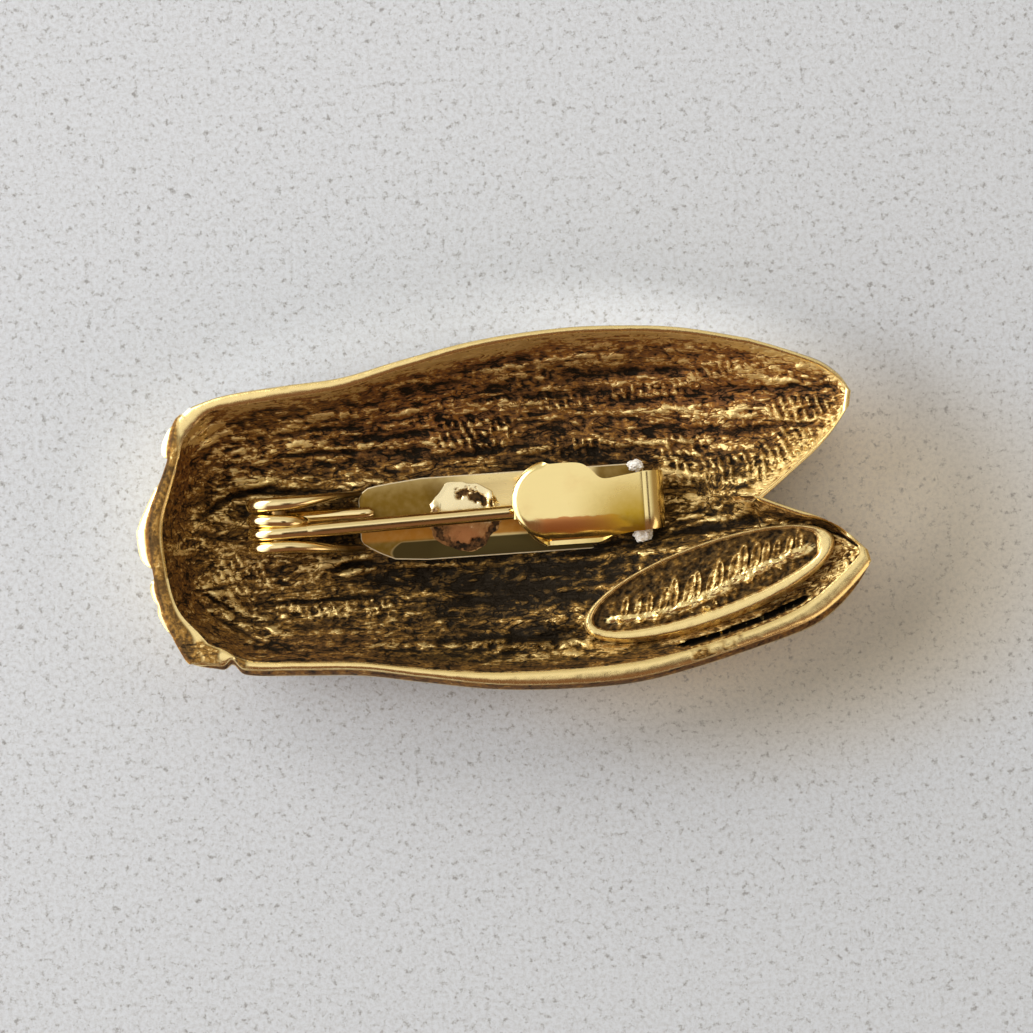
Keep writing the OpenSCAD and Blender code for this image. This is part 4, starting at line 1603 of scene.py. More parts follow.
def buildPinWire():
    clearSelection()
    at, share = pinWire["profile"][0]
    bpy.ops.mesh.primitive_circle_add(
        vertices=pinWire["sides"],
        radius=pinWire["radius"] * mm * share,
        fill_type="NGON",
        location=(0, 0, at * mm),
    )
    piece = named(bpy.context.object, "pinWire")
    settle(piece)
    editAll(piece)
    for before, after in zip(pinWire["profile"], pinWire["profile"][1:]):
        step = (after[0] - before[0]) * mm
        grow = after[1] / before[1]
        bpy.ops.mesh.extrude_region_move(TRANSFORM_OT_translate={"value": (0, 0, step)})
        bpy.ops.transform.resize(value=(grow, grow, 1), center_override=(0, 0, after[0] * mm))
    turnOut()
    hinge = pinRoot + pinDir * coil["hingeAt"]
    aim = pinDir.to_track_quat("Z", "Y").to_matrix().to_4x4()
    piece.data.transform(Matrix.Translation(hinge * mm) @ aim)
    smoothShade(piece, 50)
    return piece


pinPiece = buildPinWire()


solder = {
    # x, y, z of the middle, half sizes, seed, roughness of the surface
    "lumps": {
        "solderPuddle": (-2.6, -0.05, 2.96, 2.62, 2.36, 0.12, 3.1, 0.05),
        "solderBeadUpper": (9.36, 2.62, 3.4, 0.5, 0.38, 0.42, 7.7, 0.1),
        "solderBeadLower": (9.6, -2.14, 3.7, 0.64, 0.52, 0.42, 9.2, 0.1),
    },
    "subdivisions": 6,
    # ragged dark arcs in the puddle: radius, middle and half of its angle, half width
    "arcs": [(1.66, 68, 46, 0.36), (1.95, 18, 16, 0.2), (2.15, -62, 66, 0.36), (2.15, -150, 34, 0.3)],
    "arcDepth": 0.3,
    # swellings on the puddle: x, y, half length, half width, slant
    "swellings": [(1.9, 1.2, 0.3, 0.46, 0), (-2.1, 0.75, 0.3, 0.34, 0.4)],
    "swellingHeight": 0.18,
    # how uneven the puddle's edge and the beads' surface are
    "unevenEdge": 0.16,
    "unevenBead": 0.34,
    # distance from the middle past which the puddle stays on top of the plate
    "holeReach": 1.8,
}


def puddlePits(turn, far, ragged):
    pits = np.zeros(len(turn))
    for radius, middle, half, width in solder["arcs"]:
        turned = (np.degrees(turn) - middle + 180) % 360 - 180
        off = np.abs(far - radius) / width
        arc = (1.25 - off - 0.8 * (1 - ragged)) * ease((half - np.abs(turned)) / 12)
        pits = np.maximum(pits, ease(arc / 0.4))
    return pits


# Flattens the unit ball to a low puddle with an uneven edge
def puddleForm(unit, spots, turn, halfZ, seed):
    uneven = grain(np.cos(turn), np.sin(turn), 1.6, 1.6, seed + 2, 3)
    spots[:, :2] *= 1 + solder["unevenEdge"] * uneven[:, None]
    radial = np.hypot(unit[:, 0], unit[:, 1])
    spots[:, 2] = np.sign(unit[:, 2]) * halfZ * (1 - radial**2)


def beadForm(unit, spots, seed):
    crumbs = [noise.fractal(Vector(each) * 1.5 + Vector((seed, 0, 0)), 0.9, 2.1, 2) for each in unit]
    spots *= 1.05 + np.array([solder["unevenBead"] * crumb for crumb in crumbs])[:, None]


def buildSolder(name, x, y, z, halfX, halfY, halfZ, seed, rough):
    clearSelection()
    bpy.ops.mesh.primitive_ico_sphere_add(subdivisions=solder["subdivisions"], radius=1, location=(0, 0, 0))
    piece = named(bpy.context.object, name)
    unit = np.empty(len(piece.data.vertices) * 3, np.float32)
    piece.data.vertices.foreach_get("co", unit)
    unit = unit.reshape(-1, 3).astype(float)
    # only the puddle is wider than a bead
    puddle = halfX > 1
    turn = np.arctan2(unit[:, 1], unit[:, 0])
    spots = unit * np.array([halfX, halfY, halfZ])
    if puddle:
        puddleForm(unit, spots, turn, halfZ, seed)
    else:
        beadForm(unit, spots, seed)
    far = np.hypot(spots[:, 0], spots[:, 1])
    lump = grain(spots[:, 0], spots[:, 1], 0.5 / halfX + 0.1, 0.5 / halfY + 0.1, seed, 2)
    top = ease((unit[:, 2] - 0.02) / 0.2)
    pits = np.zeros(len(unit))
    raised = rough * 1.2 * lump
    if puddle:
        ragged = 0.6 + 1.6 * grain(spots[:, 0], spots[:, 1], 2.1, 2.1, seed + 4, 3)
        pits = puddlePits(turn, far, ragged)
        swelling = 0
        for place in solder["swellings"]:
            u, v = along(spots[:, 0], spots[:, 1], place)
            swelling = swelling + solder["swellingHeight"] * dome(u) * dome(v)
        raised = raised + (swelling - solder["arcDepth"] * pits)
    spots[:, 2] += raised * top
    onPlate = puddle * (far > solder["holeReach"]) * (top > 0)
    spots[:, 2] = np.where(onPlate, np.maximum(spots[:, 2], 0.006 * top), spots[:, 2])
    spots += np.array([x, y, z])
    piece.data.vertices.foreach_set("co", (spots * mm).astype(np.float32).ravel())
    reddish = dome((spots[:, 0] - x) / 1.9) * dome((spots[:, 1] - y + 1.3) / 1) * puddle
    low = ease((y - 0.2 - spots[:, 1]) / 0.5) * puddle
    masks = {
        "relief": clip01(0.95 + 0.5 * lump - 1.1 * pits - 0.5 * low),
        "polish": clip01(0.85 - pits - 0.9 * low),
        "warmth": 0.15 + 0.8 * reddish,
    }
    for key, value in masks.items():
        setMask(piece, key, value)
    piece.data.update()
    smoothShade(piece, 80)
    return piece


solderPieces = [buildSolder(name, *values) for name, values in solder["lumps"].items()]
print("scene: finding and solder")


def addNode(tree, kind, values=None, **settings):
    node = tree.nodes.new(kind)
    for key, value in settings.items():
        setattr(node, key, value)
    for key, value in (values or {}).items():
        node.inputs[key].default_value = value
    return node


def addRamp(tree, stops):
    ramp = tree.nodes.new("ShaderNodeValToRGB")
    band = ramp.color_ramp
    while len(band.elements) < len(stops):
        band.elements.new(0.5)
    for element, (place, colour) in zip(band.elements, stops):
        element.position = place
        element.color = (*colour, 1) if len(colour) == 3 else colour
    return ramp


floatSocket, colourSocket = "NodeSocketFloat", "NodeSocketColor"


# A group of nodes that gives a colour and some numbers
def startGroup(name, inputs, numbersOut):
    group = bpy.data.node_groups.new(name, "ShaderNodeTree")
    for label, kind, value in inputs:
        socket = group.interface.new_socket(label, in_out="INPUT", socket_type=kind)
        socket.default_value = value
    group.interface.new_socket("Color", in_out="OUTPUT", socket_type=colourSocket)
    for label in numbersOut:
        group.interface.new_socket(label, in_out="OUTPUT", socket_type=floatSocket)
    return group, group.nodes.new("NodeGroupInput"), group.nodes.new("NodeGroupOutput")


# Sets a socket to a value, or links another socket to it
def feed(tree, value, socket):
    if isinstance(value, (int, float, tuple)):
        socket.default_value = value
    else:
        tree.links.new(value, socket)


def maths(tree, operation, first, second=None, third=None, clamp=False):
    node = addNode(tree, "ShaderNodeMath", operation=operation, use_clamp=clamp)
    for slot, value in enumerate((first, second, third)):
        if value is not None:
            feed(tree, value, node.inputs[slot])
    return node.outputs[0]


def mixColour(tree, factor, first, second):
    node = addNode(tree, "ShaderNodeMix", data_type="RGBA")
    for slot, value in ((0, factor), (6, first), (7, second)):
        feed(tree, value, node.inputs[slot])
    return node.outputs[2]


# Noise at a place; its scale is in features per metre
def noiseAt(tree, place, scale, detail, rough=0.5, distortion=0):
    values = {"Detail": detail, "Roughness": rough, "Distortion": distortion}
    node = addNode(tree, "ShaderNodeTexNoise", values)
    feed(tree, scale, node.inputs["Scale"])
    tree.links.new(place, node.inputs["Vector"])
    return node.outputs[0]


# A step from the first level at the start to the last level at the end
def stepBetween(tree, value, start, end, first=0, last=1, kind="SMOOTHSTEP"):
    fade = addNode(tree, "ShaderNodeMapRange", interpolation_type=kind)
    for key, limit in (("From Min", start), ("From Max", end), ("To Min", first), ("To Max", last)):
        fade.inputs[key].default_value = limit
    tree.links.new(value, fade.inputs["Value"])
    return fade.outputs[0]


# The object's own coordinates as one point and as x, y and z
def objectPlace(tree):
    place = addNode(tree, "ShaderNodeTexCoord").outputs["Object"]
    parts = addNode(tree, "ShaderNodeSeparateXYZ")
    tree.links.new(place, parts.inputs[0])
    return place, *parts.outputs


patinaLook = {
    # what a material may change
    "inputs": [
        ("Relief", floatSocket, 0.5),
        ("Polish", floatSocket, 0.0),
        ("Stain", floatSocket, 0.0),
        ("Warmth", floatSocket, 0.2),
        ("Gold", colourSocket, (0.9, 0.7, 0.32, 1)),
        ("Worn", colourSocket, (0.33, 0.19, 0.05, 1)),
        ("Brown", colourSocket, (0.11, 0.062, 0.017, 1)),
        ("Black", colourSocket, (0.014, 0.009, 0.004, 1)),
        ("Red", colourSocket, (0.24, 0.105, 0.038, 1)),
        ("Red Worn", colourSocket, (0.4, 0.185, 0.042, 1)),
        ("Grain", floatSocket, 2600.0),
        ("Streak", floatSocket, 0.0),
    ],
    "numbersOut": ("Roughness", "Metallic", "Height"),
    # detail and roughness of the fine noise, and scale, detail and roughness of the next two
    "fine": (5, 0.62),
    "broad": (420, 3, 0.55),
    "strands": (2100, 4, 0.6),
    # the streaks' squeeze along x and their turn
    "squeeze": 0.3,
    "turn": math.radians(-2),
    # how strongly the fine noise, the strands and the broad noise shift the level
    "fineShift": 1.2,
    "strandShift": 1.3,
    "broadShift": 0.3,
    # thin dark lines: their wandering noise, half width, depth and the lift beside them
    "lines": [((1150, 2, 0.5, 0.7), 0.035, -0.5, 0.07), ((2600, 1, 0.5, 0.9), 0.06, -0.3, 0.08)],
    # levels over which black turns to brown, brown to worn and worn to gold
    "levels": [(-0.05, 0.46), (0.42, 0.68), (0.68, 1.02)],
    # polish over which the metal turns to rubbed gold
    "rubbed": (0.35, 0.75),
}


# Antiqued gold: dark patina stays in the hollows and the high places are rubbed bright
def makePatinaGroup():
    look = patinaLook
    group, given, result = startGroup("patinaMix", look["inputs"], look["numbersOut"])
    source = given.outputs
    place = addNode(group, "ShaderNodeTexCoord").outputs["Object"]
    fine = noiseAt(group, place, source["Grain"], *look["fine"])
    broad = noiseAt(group, place, *look["broad"])
    squeezed = {"Scale": (look["squeeze"], 1, 1), "Rotation": (0, 0, look["turn"])}
    stretched = addNode(group, "ShaderNodeMapping", squeezed)
    group.links.new(place, stretched.inputs["Vector"])
    streaked = stretched.outputs[0]
    strands = noiseAt(group, streaked, *look["strands"])
    shift = look["strandShift"]
    strand = maths(group, "MULTIPLY_ADD", strands, shift, -shift / 2)
    strand = maths(group, "MULTIPLY", strand, source["Streak"])
    shift = look["fineShift"]
    speck = maths(group, "MULTIPLY_ADD", fine, shift, -shift / 2)
    speck = maths(group, "ADD", speck, strand)
    # a line lies where its noise crosses the middle
    for wander, half, depth, lift in look["lines"]:
        wandering = noiseAt(group, streaked, *wander)
        offMiddle = maths(group, "ABSOLUTE", maths(group, "SUBTRACT", wandering, 0.5))
        line = stepBetween(group, offMiddle, 0, half, depth, lift, "LINEAR")
        speck = maths(group, "ADD", speck, maths(group, "MULTIPLY", line, source["Streak"]))
    shift = look["broadShift"]
    cloud = maths(group, "MULTIPLY_ADD", broad, shift, -shift / 2)
    level = maths(group, "ADD", source["Relief"], source["Stain"])
    level = maths(group, "ADD", level, speck)
    level = maths(group, "ADD", level, cloud)
    low, mid, high = (stepBetween(group, level, *limits) for limits in look["levels"])
    warmBrown = mixColour(group, source["Warmth"], source["Brown"], source["Red"])
    colour = mixColour(group, low, source["Black"], warmBrown)
    warmWorn = mixColour(group, source["Warmth"], source["Worn"], source["Red Worn"])
    colour = mixColour(group, mid, colour, warmWorn)
    colour = mixColour(group, high, colour, source["Gold"])
    rubbed = maths(group, "MULTIPLY_ADD", speck, 0.18, source["Polish"], clamp=True)
    rub = stepBetween(group, rubbed, *look["rubbed"])
    colour = mixColour(group, rub, colour, source["Gold"])
    # bright metal is smooth and fully metallic, patina is rough
    bright = maths(group, "MAXIMUM", maths(group, "MULTIPLY", high, 0.55), rub)
    roughness = maths(group, "MULTIPLY_ADD", bright, -0.38, 0.64)
    roughness = maths(group, "MULTIPLY_ADD", fine, 0.16, roughness)
    roughness = maths(group, "SUBTRACT", roughness, 0.08)
    metallic = maths(group, "MULTIPLY_ADD", maths(group, "MAXIMUM", mid, rub), 0.3, 0.7)
    group.links.new(colour, result.inputs["Color"])
    group.links.new(roughness, result.inputs["Roughness"])
    group.links.new(metallic, result.inputs["Metallic"])
    calm = maths(group, "MULTIPLY_ADD", rub, -0.9, 1)
    group.links.new(maths(group, "MULTIPLY", level, calm), result.inputs["Height"])
    return group


wearLook = {
    "inputs": [
        ("Metal", colourSocket, (0.86, 0.68, 0.36, 1)),
        ("Tarnish", colourSocket, (0.42, 0.2, 0.08, 1)),
        ("Amount", floatSocket, 0.3),
        ("Shine", floatSocket, 0.16),
        ("Shade", floatSocket, 0.0),
        ("Dark", colourSocket, (0.1, 0.07, 0.016, 1)),
        ("Stain", floatSocket, 0.0),
        ("Scratch Scale", floatSocket, 1200.0),
    ],
    "numbersOut": ("Roughness", "Height"),
    "squeeze": 0.12,
    # detail and roughness of the scratches, and scale, detail and roughness of the next two
    "scratch": (6, 0.7),
    "cloud": (380, 5, 0.6),
    "spots": (2300, 3, 0.5),
    # noise over which the cloudy tarnish and the spots come in, and the spots' strength
    "cloudStep": (0.5, 0.75),
    "spotStep": (0.64, 0.76),
    "spotStrength": 0.7,
}


# Fine scratches and dull cloudy tarnish of the drawn wire and stamped sheet
def makeWearGroup():
    look = wearLook
    group, given, result = startGroup("findingWear", look["inputs"], look["numbersOut"])
    source = given.outputs
    place = addNode(group, "ShaderNodeTexCoord").outputs["Object"]
    stretched = addNode(group, "ShaderNodeMapping", {"Scale": (look["squeeze"], 1, 1)})
    group.links.new(place, stretched.inputs["Vector"])
    scratch = noiseAt(group, stretched.outputs[0], source["Scratch Scale"], *look["scratch"])
    cloud = noiseAt(group, place, *look["cloud"])
    spots = noiseAt(group, place, *look["spots"])
    patch = stepBetween(group, cloud, *look["cloudStep"])
    dots = stepBetween(group, spots, *look["spotStep"])
    dull = maths(group, "MAXIMUM", patch, maths(group, "MULTIPLY", dots, look["spotStrength"]))
    dull = maths(group, "MULTIPLY", dull, source["Amount"])
    dull = maths(group, "MAXIMUM", dull, source["Stain"], clamp=True)
    colour = mixColour(group, dull, source["Metal"], source["Tarnish"])
    # the shade is uneven where it is at all
    veil = maths(group, "MULTIPLY_ADD", cloud, 0.16, -0.08)
    veil = maths(group, "ADD", veil, maths(group, "MULTIPLY_ADD", spots, 0.24, -0.12))
    veil = maths(group, "MULTIPLY", veil, maths(group, "MULTIPLY", source["Shade"], 1.6, clamp=True))
    veil = maths(group, "ADD", veil, source["Shade"], clamp=True)
    colour = mixColour(group, veil, colour, source["Dark"])
    roughness = maths(group, "MULTIPLY_ADD", scratch, 0.14, source["Shine"])
    roughness = maths(group, "MULTIPLY_ADD", dull, 0.25, roughness)
    roughness = maths(group, "MULTIPLY_ADD", veil, 0.2, roughness)
    group.links.new(colour, result.inputs["Color"])
    group.links.new(roughness, result.inputs["Roughness"])
    group.links.new(scratch, result.inputs["Height"])
    return group


patinaGroup = makePatinaGroup()
wearGroup = makeWearGroup()


def startMaterial(name):
    material = bpy.data.materials.new(name)
    material.use_nodes = True
    tree = material.node_tree
    tree.nodes.clear()
    shader = addNode(tree, "ShaderNodeBsdfPrincipled", {"Specular IOR Level": 0.3})
    output = tree.nodes.new("ShaderNodeOutputMaterial")
    tree.links.new(shader.outputs[0], output.inputs["Surface"])
    return material, tree, shader


def groupNode(tree, group, values):
    node = tree.nodes.new("ShaderNodeGroup")
    node.node_tree = group
    for key, value in values.items():
        node.inputs[key].default_value = value
    return node


def bumpFrom(tree, height, shader, strength, distance):
    bump = addNode(tree, "ShaderNodeBump", {"Strength": strength, "Distance": distance * mm})
    tree.links.new(height, bump.inputs["Height"])
    tree.links.new(bump.outputs[0], shader.inputs["Normal"])


patinaMasks = ("relief", "polish", "stain", "warmth")


def patinaMaterial(name, values, masks=patinaMasks, bump=0.5):
    material, tree, shader = startMaterial(name)
    patina = groupNode(tree, patinaGroup, values)
    for mask in masks:
        reader = addNode(tree, "ShaderNodeAttribute", attribute_name=mask)
        tree.links.new(reader.outputs["Fac"], patina.inputs[mask.title()])
    for key in ("Color", "Roughness", "Metallic"):
        target = "Base Color" if key == "Color" else key
        tree.links.new(patina.outputs[key], shader.inputs[target])
    bumpFrom(tree, patina.outputs["Height"], shader, bump, 0.12)
    return material


def wearMaterial(name, values, bump=0.12):
    material, tree, shader = startMaterial(name)
    shader.inputs["Metallic"].default_value = 1
    wear = groupNode(tree, wearGroup, values)
    tree.links.new(wear.outputs["Color"], shader.inputs["Base Color"])
    tree.links.new(wear.outputs["Roughness"], shader.inputs["Roughness"])
    bumpFrom(tree, wear.outputs["Height"], shader, bump, 0.05)
    return material


# A soft mask along one axis: most up to the start, nothing past the end; both in millimetres
def spanMask(tree, value, start, end, most):
    return stepBetween(tree, value, start * mm, end * mm, most, 0)


def overlap(tree, first, firstSpan, second, secondSpan):
    return maths(tree, "MULTIPLY", spanMask(tree, first, *firstSpan), spanMask(tree, second, *secondSpan))


def nodeOf(tree, kind):
    return next(node for node in tree.nodes if node.type == kind)


# Where each tone of the finding lies: start, end and strength of a mask along x or y
plateTones = {
    "leftX": (-4.8, -1.2, 0.97),
    "leftY": (1.4, 4.8, 1),
    # the band below the pin is a painted reflection and shadow of the pin
    "pinShadeTop": (-0.2, 0.2, 0.97),
    "pinShadeFoot": (-1.3, -1.6, 1),
    "darkTop": (-1.62, -1.46, 0.98),
    "darkEnd": (-7.7, -8, 1),
    # y of the dark strip's middle and how round its end is
    "darkRound": (-2.3, -1.3),
    "neckX": (6.9, 6.2, 0.9),
    "neckY": (1.9, 1.6, 1),
    "olive": (0.2, 0.115, 0.018, 1),
    "pinShade": (0.42, 0.18, 0.028, 1),
    "paintedEdgeHighlight": (0.86, 0.74, 0.5, 1),
}
catchTones = {
    # how far the band's end along x and its sides along y wander
    "wander": (4, 0.7),
    "bandTop": (-0.3, -0.2, 1),
    "bandFoot": (-1.2, -1.34, 1),
    "bandTip": (3, 1.8, 1),
    "bandFold": (10.2, 10.8, 0.9),
    "hazeX": (8.8, 4.2, 0.95),
    "hazeY": (-1, 3, 1),
    "hazeFold": (9.7, 9.8, 1),
}
earTones = {"armShadeX": (-10.6, -12.4, 0.9)}


# The stamped strip is olive left of its hole, reddish gold below the pin as a painted reflection and shadow
# of the pin, and dark along its lower side
def shadePlate(material):
    tree, tones = material.node_tree, plateTones
    wear, shader = nodeOf(tree, "GROUP"), nodeOf(tree, "BSDF_PRINCIPLED")
    _, x, y, _ = objectPlace(tree)
    left = overlap(tree, x, tones["leftX"], y, tones["leftY"])
    # painted reflection and shadow of the pin on the strip below it
    pinShade = overlap(tree, y, tones["pinShadeTop"], y, tones["pinShadeFoot"])
    # the left end of the dark strip is round
    middle, bend = tones["darkRound"]
    off = maths(tree, "ADD", y, -middle * mm)
    bent = maths(tree, "MULTIPLY_ADD", maths(tree, "MULTIPLY", off, off), bend / mm, x)
    low = overlap(tree, y, tones["darkTop"], bent, tones["darkEnd"])
    tree.links.new(low, wear.inputs["Stain"])
    cover = maths(tree, "SUBTRACT", 1, low)
    neck = overlap(tree, x, tones["neckX"], y, tones["neckY"])
    shade = maths(tree, "MAXIMUM", neck, maths(tree, "MAXIMUM", left, pinShade))
    tree.links.new(maths(tree, "MULTIPLY", shade, cover), wear.inputs["Shade"])
    tree.links.new(mixColour(tree, pinShade, tones["olive"], tones["pinShade"]), wear.inputs["Dark"])
    # its rounded edge is painted pale as a highlight and is less metallic
    edge = addNode(tree, "ShaderNodeAttribute", attribute_name="edge").outputs["Fac"]
    colour = mixColour(tree, edge, wear.outputs["Color"], tones["paintedEdgeHighlight"])
    tree.links.new(colour, shader.inputs["Base Color"])
    tree.links.new(maths(tree, "MULTIPLY_ADD", edge, -0.8, 1), shader.inputs["Metallic"])


# A reddish brown band lies along the rolled side of the catch and an olive haze near its fold
def shadeCatch(material):
    tree, tones = material.node_tree, catchTones
    wear = nodeOf(tree, "GROUP")
    place, x, y, _ = objectPlace(tree)
    wave = noiseAt(tree, place, 700, 3)
    wanderX, wanderY = tones["wander"]
    wavedX = maths(tree, "MULTIPLY_ADD", wave, wanderX * mm, x)
    wavedY = maths(tree, "MULTIPLY_ADD", wave, wanderY * mm, y)
    band = overlap(tree, wavedY, tones["bandTop"], wavedY, tones["bandFoot"])
    band = maths(tree, "MULTIPLY", band, spanMask(tree, x, *tones["bandTip"]))
    band = maths(tree, "MULTIPLY", band, spanMask(tree, wavedX, *tones["bandFold"]))
    tree.links.new(band, wear.inputs["Stain"])
    haze = overlap(tree, x, tones["hazeX"], y, tones["hazeY"])
    haze = maths(tree, "MULTIPLY", haze, spanMask(tree, x, *tones["hazeFold"]))
    tree.links.new(haze, wear.inputs["Shade"])


# The ears' arms get painted shade towards the plate
def shadeEars(material):
    tree = material.node_tree
    _, x, _, _ = objectPlace(tree)
    tree.links.new(spanMask(tree, x, *earTones["armShadeX"]), nodeOf(tree, "GROUP").inputs["Shade"])


castGold = patinaMaterial("castGold", {"Grain": 3600.0}, masks=(*patinaMasks, "streak"), bump=0.65)
plaqueGold = patinaMaterial("plaqueGold", {"Grain": 3200.0})
solderGold = patinaMaterial(
    "solderGold",
    {
        "Grain": 1900.0,
        "Gold": (0.9, 0.76, 0.46, 1),
        "Worn": (0.5, 0.34, 0.14, 1),
        "Red": (0.45, 0.19, 0.07, 1),
        "Red Worn": (0.45, 0.2, 0.08, 1),
        "Stain": 0.12,
    },
    masks=("relief", "polish", "warmth"),
    bump=0.25,
)
# the solder beads are near white, a painted highlight standing in for their glints
paintedHighlightBead, _, beadShader = startMaterial("paintedHighlightBead")
for key, value in (("Base Color", (1, 0.99, 0.96, 1)), ("Roughness", 0.3), ("Coat Weight", 0.8)):
    beadShader.inputs[key].default_value = value
plateBrass = wearMaterial(
    "plateBrass",
    {
        "Metal": (0.8, 0.62, 0.29, 1),
        "Tarnish": (0.06, 0.043, 0.013, 1),
        "Amount": 0.3,
        "Shine": 0.2,
    },
)
shadePlate(plateBrass)
catchBrass = wearMaterial(
    "catchBrass",
    {
        "Metal": (0.9, 0.72, 0.33, 1),
        "Dark": (0.5, 0.31, 0.02, 1),
        "Tarnish": (0.72, 0.28, 0.085, 1),
        "Amount": 0.16,
        "Shine": 0.1,
    },
)
shadeCatch(catchBrass)
wireBrass = wearMaterial("wireBrass", {"Metal": (0.92, 0.74, 0.38, 1), "Amount": 0.22, "Shine": 0.05})
earBrass = wearMaterial(
    "earBrass",
    {
        "Metal": (0.92, 0.74, 0.38, 1),
        "Dark": (0.12, 0.07, 0.02, 1),
        "Amount": 0.25,
        "Shine": 0.08,
    },
)
shadeEars(earBrass)
# the hinge axle is painted dark brown as the shade in the gap beside the coil
axlePaintedShade = wearMaterial("axlePaintedShade", {"Metal": (0.3, 0.19, 0.07, 1), "Amount": 0.5, "Shine": 0.2})

finishes = [
    (castPiece, castGold, "back", "shell", "cast_metal"),
    (plaquePiece, plaqueGold, "back", "oval_plaque", "plaque_metal"),
    (platePiece, plateBrass, "back", "base_plate", "finding_sheet"),
    (catchPiece, catchBrass, "back", "base_plate", "finding_sheet"),
    (coilPiece, wireBrass, "back", "pin_coil", "finding_wire"),
    (pinPiece, wireBrass, "pin", "pin_stem", "finding_wire"),
]
finishes += [(each, earBrass, "back", "base_plate", "finding_sheet") for each in earPieces]
for each, material in zip(solderPieces, (solderGold, paintedHighlightBead, paintedHighlightBead)):
    finishes.append((each, material, "back", "base_plate", "finding_sheet"))
for piece, material, body, node, slotName in finishes:
    piece.data.materials.clear()
    piece.data.materials.append(material)
    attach(piece, body)
    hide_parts(node)
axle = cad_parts["hinge_axle"]
for slot in axle.material_slots:
    slot.material = axlePaintedShade
print("scene: materials")


studio = {
    "floorSize": 1.6,
    # the floor's tones from the upper left to the lower right, and how that slope lies
    "floorTones": [(0.615, 0.65, 0.71), (0.565, 0.6, 0.655)],
    "floorSlope": (0.8, -0.6),
    "slopeLength": 75,
    "slopeStart": 0.4,
    # scale, detail and roughness of the cloth's fibres and of its flecks
    "fibres": (3300, 4, 0.7),
    "flecks": (1900, 3, 0.7),
    "fleckStep": (0.56, 0.7, 0, 0.72),
    "fibreTone": (0.3, 0.29, 0.28, 1),
    "fleckTone": (0.2, 0.19, 0.18, 1),
    # painted warm shadow beside the brooch, tinted by light bounced from it: middle, half sizes, tone and
    # its fade
    "warmShadowPatch": ((19, -4.5), (22, 14)),
    "warmShadowTone": (0.47, 0.415, 0.315, 1),
    "warmShadowStep": (1.25, 0.55, 0, 0.8),
    # painted light round the brooch that lifts its shadow: middle, half sizes, its fade and how much paler
    # it is
    "paintedLightPatch": ((0, 0), (23.5, 12.4)),
    "paintedLightStep": (1.4, 1.02),
    "paintedLightMost": 0.75,
    # x over which that patch gains its full strength from a fifth of it
    "paintedLightRight": (-5, 18),
    "cameraHeight": 0.62,
    "viewWidth": 0.0708,
    "sensor": 36,
    "rimLevel": 0.008,
    "centre": (0.94, -0.33),
    "turn": math.radians(-4),
    "sky": {
        "lower": (0.2, 0.1, 0.06, 1),
        "upper": (0.72, 0.68, 0.58, 1),
        "dusk": (0.07, 0.035, 0.018, 1),
        "right": (0.34, 0.24, 0.12, 1),
        "window": (2.4, 2.4, 2.3, 1),
        "overhead": (1.0, 0.99, 0.95, 1),
    },
    # axis of the view direction, where each tone of the sky starts and where it is full
    "skySteps": [("upper", 1, -0.35, 0.1), ("right", 0, 0.55, 0.85), ("window", 0, -0.45, -0.85)],
    # name, place and size in metres, power and colour
    "lamps": [
        ("windowLight", (-0.55, 0.3, 0.36), (0.75, 0.45), 4.2, (1, 0.985, 0.96)),
        ("warmFill", (0.5, -0.35, 0.3), (0.4, 0.3), 0.5, (1, 0.84, 0.66)),
    ],
}


# Distance from a middle in half sizes, so that 1 is an oval; the sizes are in millimetres
def ovalDistance(tree, place, middle, half):
    x, y, halfX, halfY = (value * mm for value in (*middle, *half))
    values = {"Location": (-x / halfX, -y / halfY, 0), "Scale": (1 / halfX, 1 / halfY, 0)}
    moved = addNode(tree, "ShaderNodeMapping", values)
    tree.links.new(place, moved.inputs["Vector"])
    distance = addNode(tree, "ShaderNodeVectorMath", operation="LENGTH")
    tree.links.new(moved.outputs[0], distance.inputs[0])
    return distance.outputs["Value"]


# Cool towards the upper left and beige towards the lower right, with a painted warm shadow on the right
def clothTone(tree, place, x, y, fibre, flecks):
    slopeX, slopeY = studio["floorSlope"]
    slope = maths(tree, "MULTIPLY_ADD", y, slopeY, maths(tree, "MULTIPLY", x, slopeX))
    steep = 1 / (studio["slopeLength"] * mm)
    slope = maths(tree, "MULTIPLY_ADD", slope, steep, studio["slopeStart"], clamp=True)
    ramp = addRamp(tree, list(enumerate(studio["floorTones"])))
    tree.links.new(slope, ramp.inputs[0])
    # painted warm shadow beside the brooch
    glow = stepBetween(tree, ovalDistance(tree, place, *studio["warmShadowPatch"]), *studio["warmShadowStep"])
    fleck = stepBetween(tree, flecks, *studio["fleckStep"], "LINEAR")
    mottle = maths(tree, "MULTIPLY_ADD", fibre, 1.5, -0.65, clamp=True)
    tone = mixColour(tree, glow, ramp.outputs[0], studio["warmShadowTone"])
    tone = mixColour(tree, mottle, tone, studio["fibreTone"])
    return mixColour(tree, fleck, tone, studio["fleckTone"])


# The cloth gets painted light close to the brooch, most of all on its right, lifting the brooch's shadow
def paintedLightNear(tree, place, x, tone):
    near = stepBetween(tree, ovalDistance(tree, place, *studio["paintedLightPatch"]), *studio["paintedLightStep"])
    start, end = studio["paintedLightRight"]
    right = stepBetween(tree, x, start * mm, end * mm, 0.2)
    lift = maths(tree, "MULTIPLY_ADD", maths(tree, "MULTIPLY", near, right), studio["paintedLightMost"], 1)
    lifted = addNode(tree, "ShaderNodeVectorMath", operation="SCALE")
    tree.links.new(tone, lifted.inputs[0])
    tree.links.new(lift, lifted.inputs["Scale"])
    return lifted.outputs[0]


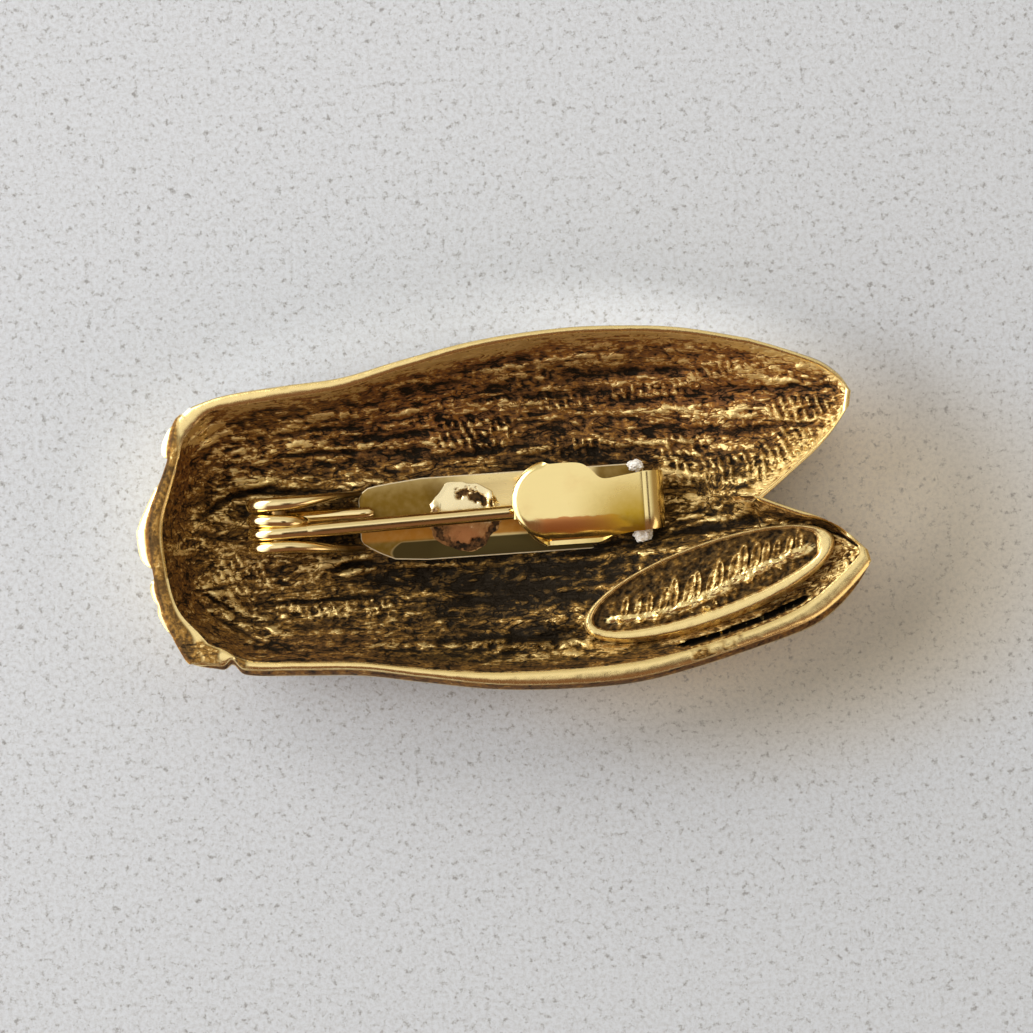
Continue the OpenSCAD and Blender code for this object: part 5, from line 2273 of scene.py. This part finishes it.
def buildFloor():
    clearSelection()
    bpy.ops.mesh.primitive_plane_add(size=studio["floorSize"], location=(0, 0, 0))
    floor = named(bpy.context.object, "floor")
    material, tree, shader = startMaterial("paleCloth")
    place, x, y, _ = objectPlace(tree)
    fibre = noiseAt(tree, place, *studio["fibres"])
    flecks = noiseAt(tree, place, *studio["flecks"])
    tone = clothTone(tree, place, x, y, fibre, flecks)
    tree.links.new(paintedLightNear(tree, place, x, tone), shader.inputs["Base Color"])
    shader.inputs["Roughness"].default_value = 0.95
    bumpFrom(tree, fibre, shader, 0.3, 0.12)
    floor.data.materials.append(material)


# A lamp that points at the middle of the brooch
def areaLight(name, at, size, power, colour):
    lamp = bpy.data.lights.new(name, "AREA")
    lamp.shape = "RECTANGLE"
    lamp.size, lamp.size_y = size
    lamp.energy = power
    lamp.color = colour
    holder = bpy.data.objects.new(name, lamp)
    bpy.context.collection.objects.link(holder)
    holder.location = at
    holder.rotation_mode = "QUATERNION"
    holder.rotation_quaternion = (-Vector(at)).to_track_quat("-Z", "Y")


# Bright overhead, a window low on the left, reddish dusk towards the lower side
def buildWorld():
    world = bpy.data.worlds.new("studioSky")
    bpy.context.scene.world = world
    world.use_nodes = True
    tree = world.node_tree
    tree.nodes.clear()
    place = addNode(tree, "ShaderNodeTexCoord")
    parts = addNode(tree, "ShaderNodeSeparateXYZ")
    tree.links.new(place.outputs["Generated"], parts.inputs[0])

    def reach(axis, start, end):
        return stepBetween(tree, parts.outputs[axis], start, end)

    sky = studio["sky"]
    colour = sky["lower"]
    for name, *step in studio["skySteps"]:
        colour = mixColour(tree, reach(*step), colour, sky[name])
    # the overhead light ends towards the lower side and right of the zenith
    overhead = maths(tree, "MULTIPLY", reach(2, 0.78, 0.92), reach(1, -0.34, -0.16))
    dusk = maths(tree, "MULTIPLY", reach(0, 0.12, 0.21), reach(0, 0.44, 0.34))
    dusk = maths(tree, "MULTIPLY", dusk, reach(1, 0.2, 0.06))
    colour = mixColour(tree, overhead, colour, sky["overhead"])
    colour = mixColour(tree, maths(tree, "MULTIPLY", dusk, reach(2, 0.8, 0.9)), colour, sky["dusk"])
    glow = addNode(tree, "ShaderNodeBackground")
    tree.links.new(colour, glow.inputs["Color"])
    output = addNode(tree, "ShaderNodeOutputWorld")
    tree.links.new(glow.outputs[0], output.inputs["Surface"])


def buildCamera():
    lens = bpy.data.cameras.new("camera")
    camera = bpy.data.objects.new("camera", lens)
    bpy.context.collection.objects.link(camera)
    bpy.context.scene.camera = camera
    lens.sensor_width = studio["sensor"]
    reach = studio["cameraHeight"] - studio["rimLevel"]
    lens.lens = studio["sensor"] * reach / studio["viewWidth"]
    lens.clip_start = 0.01
    camera.location = (studio["centre"][0] * mm, studio["centre"][1] * mm, studio["cameraHeight"])
    camera.rotation_euler = (0, 0, studio["turn"])


buildFloor()
buildWorld()
for values in studio["lamps"]:
    areaLight(*values)
buildCamera()
bpy.context.scene.view_settings.view_transform = "Standard"
print("scene: stage and camera")
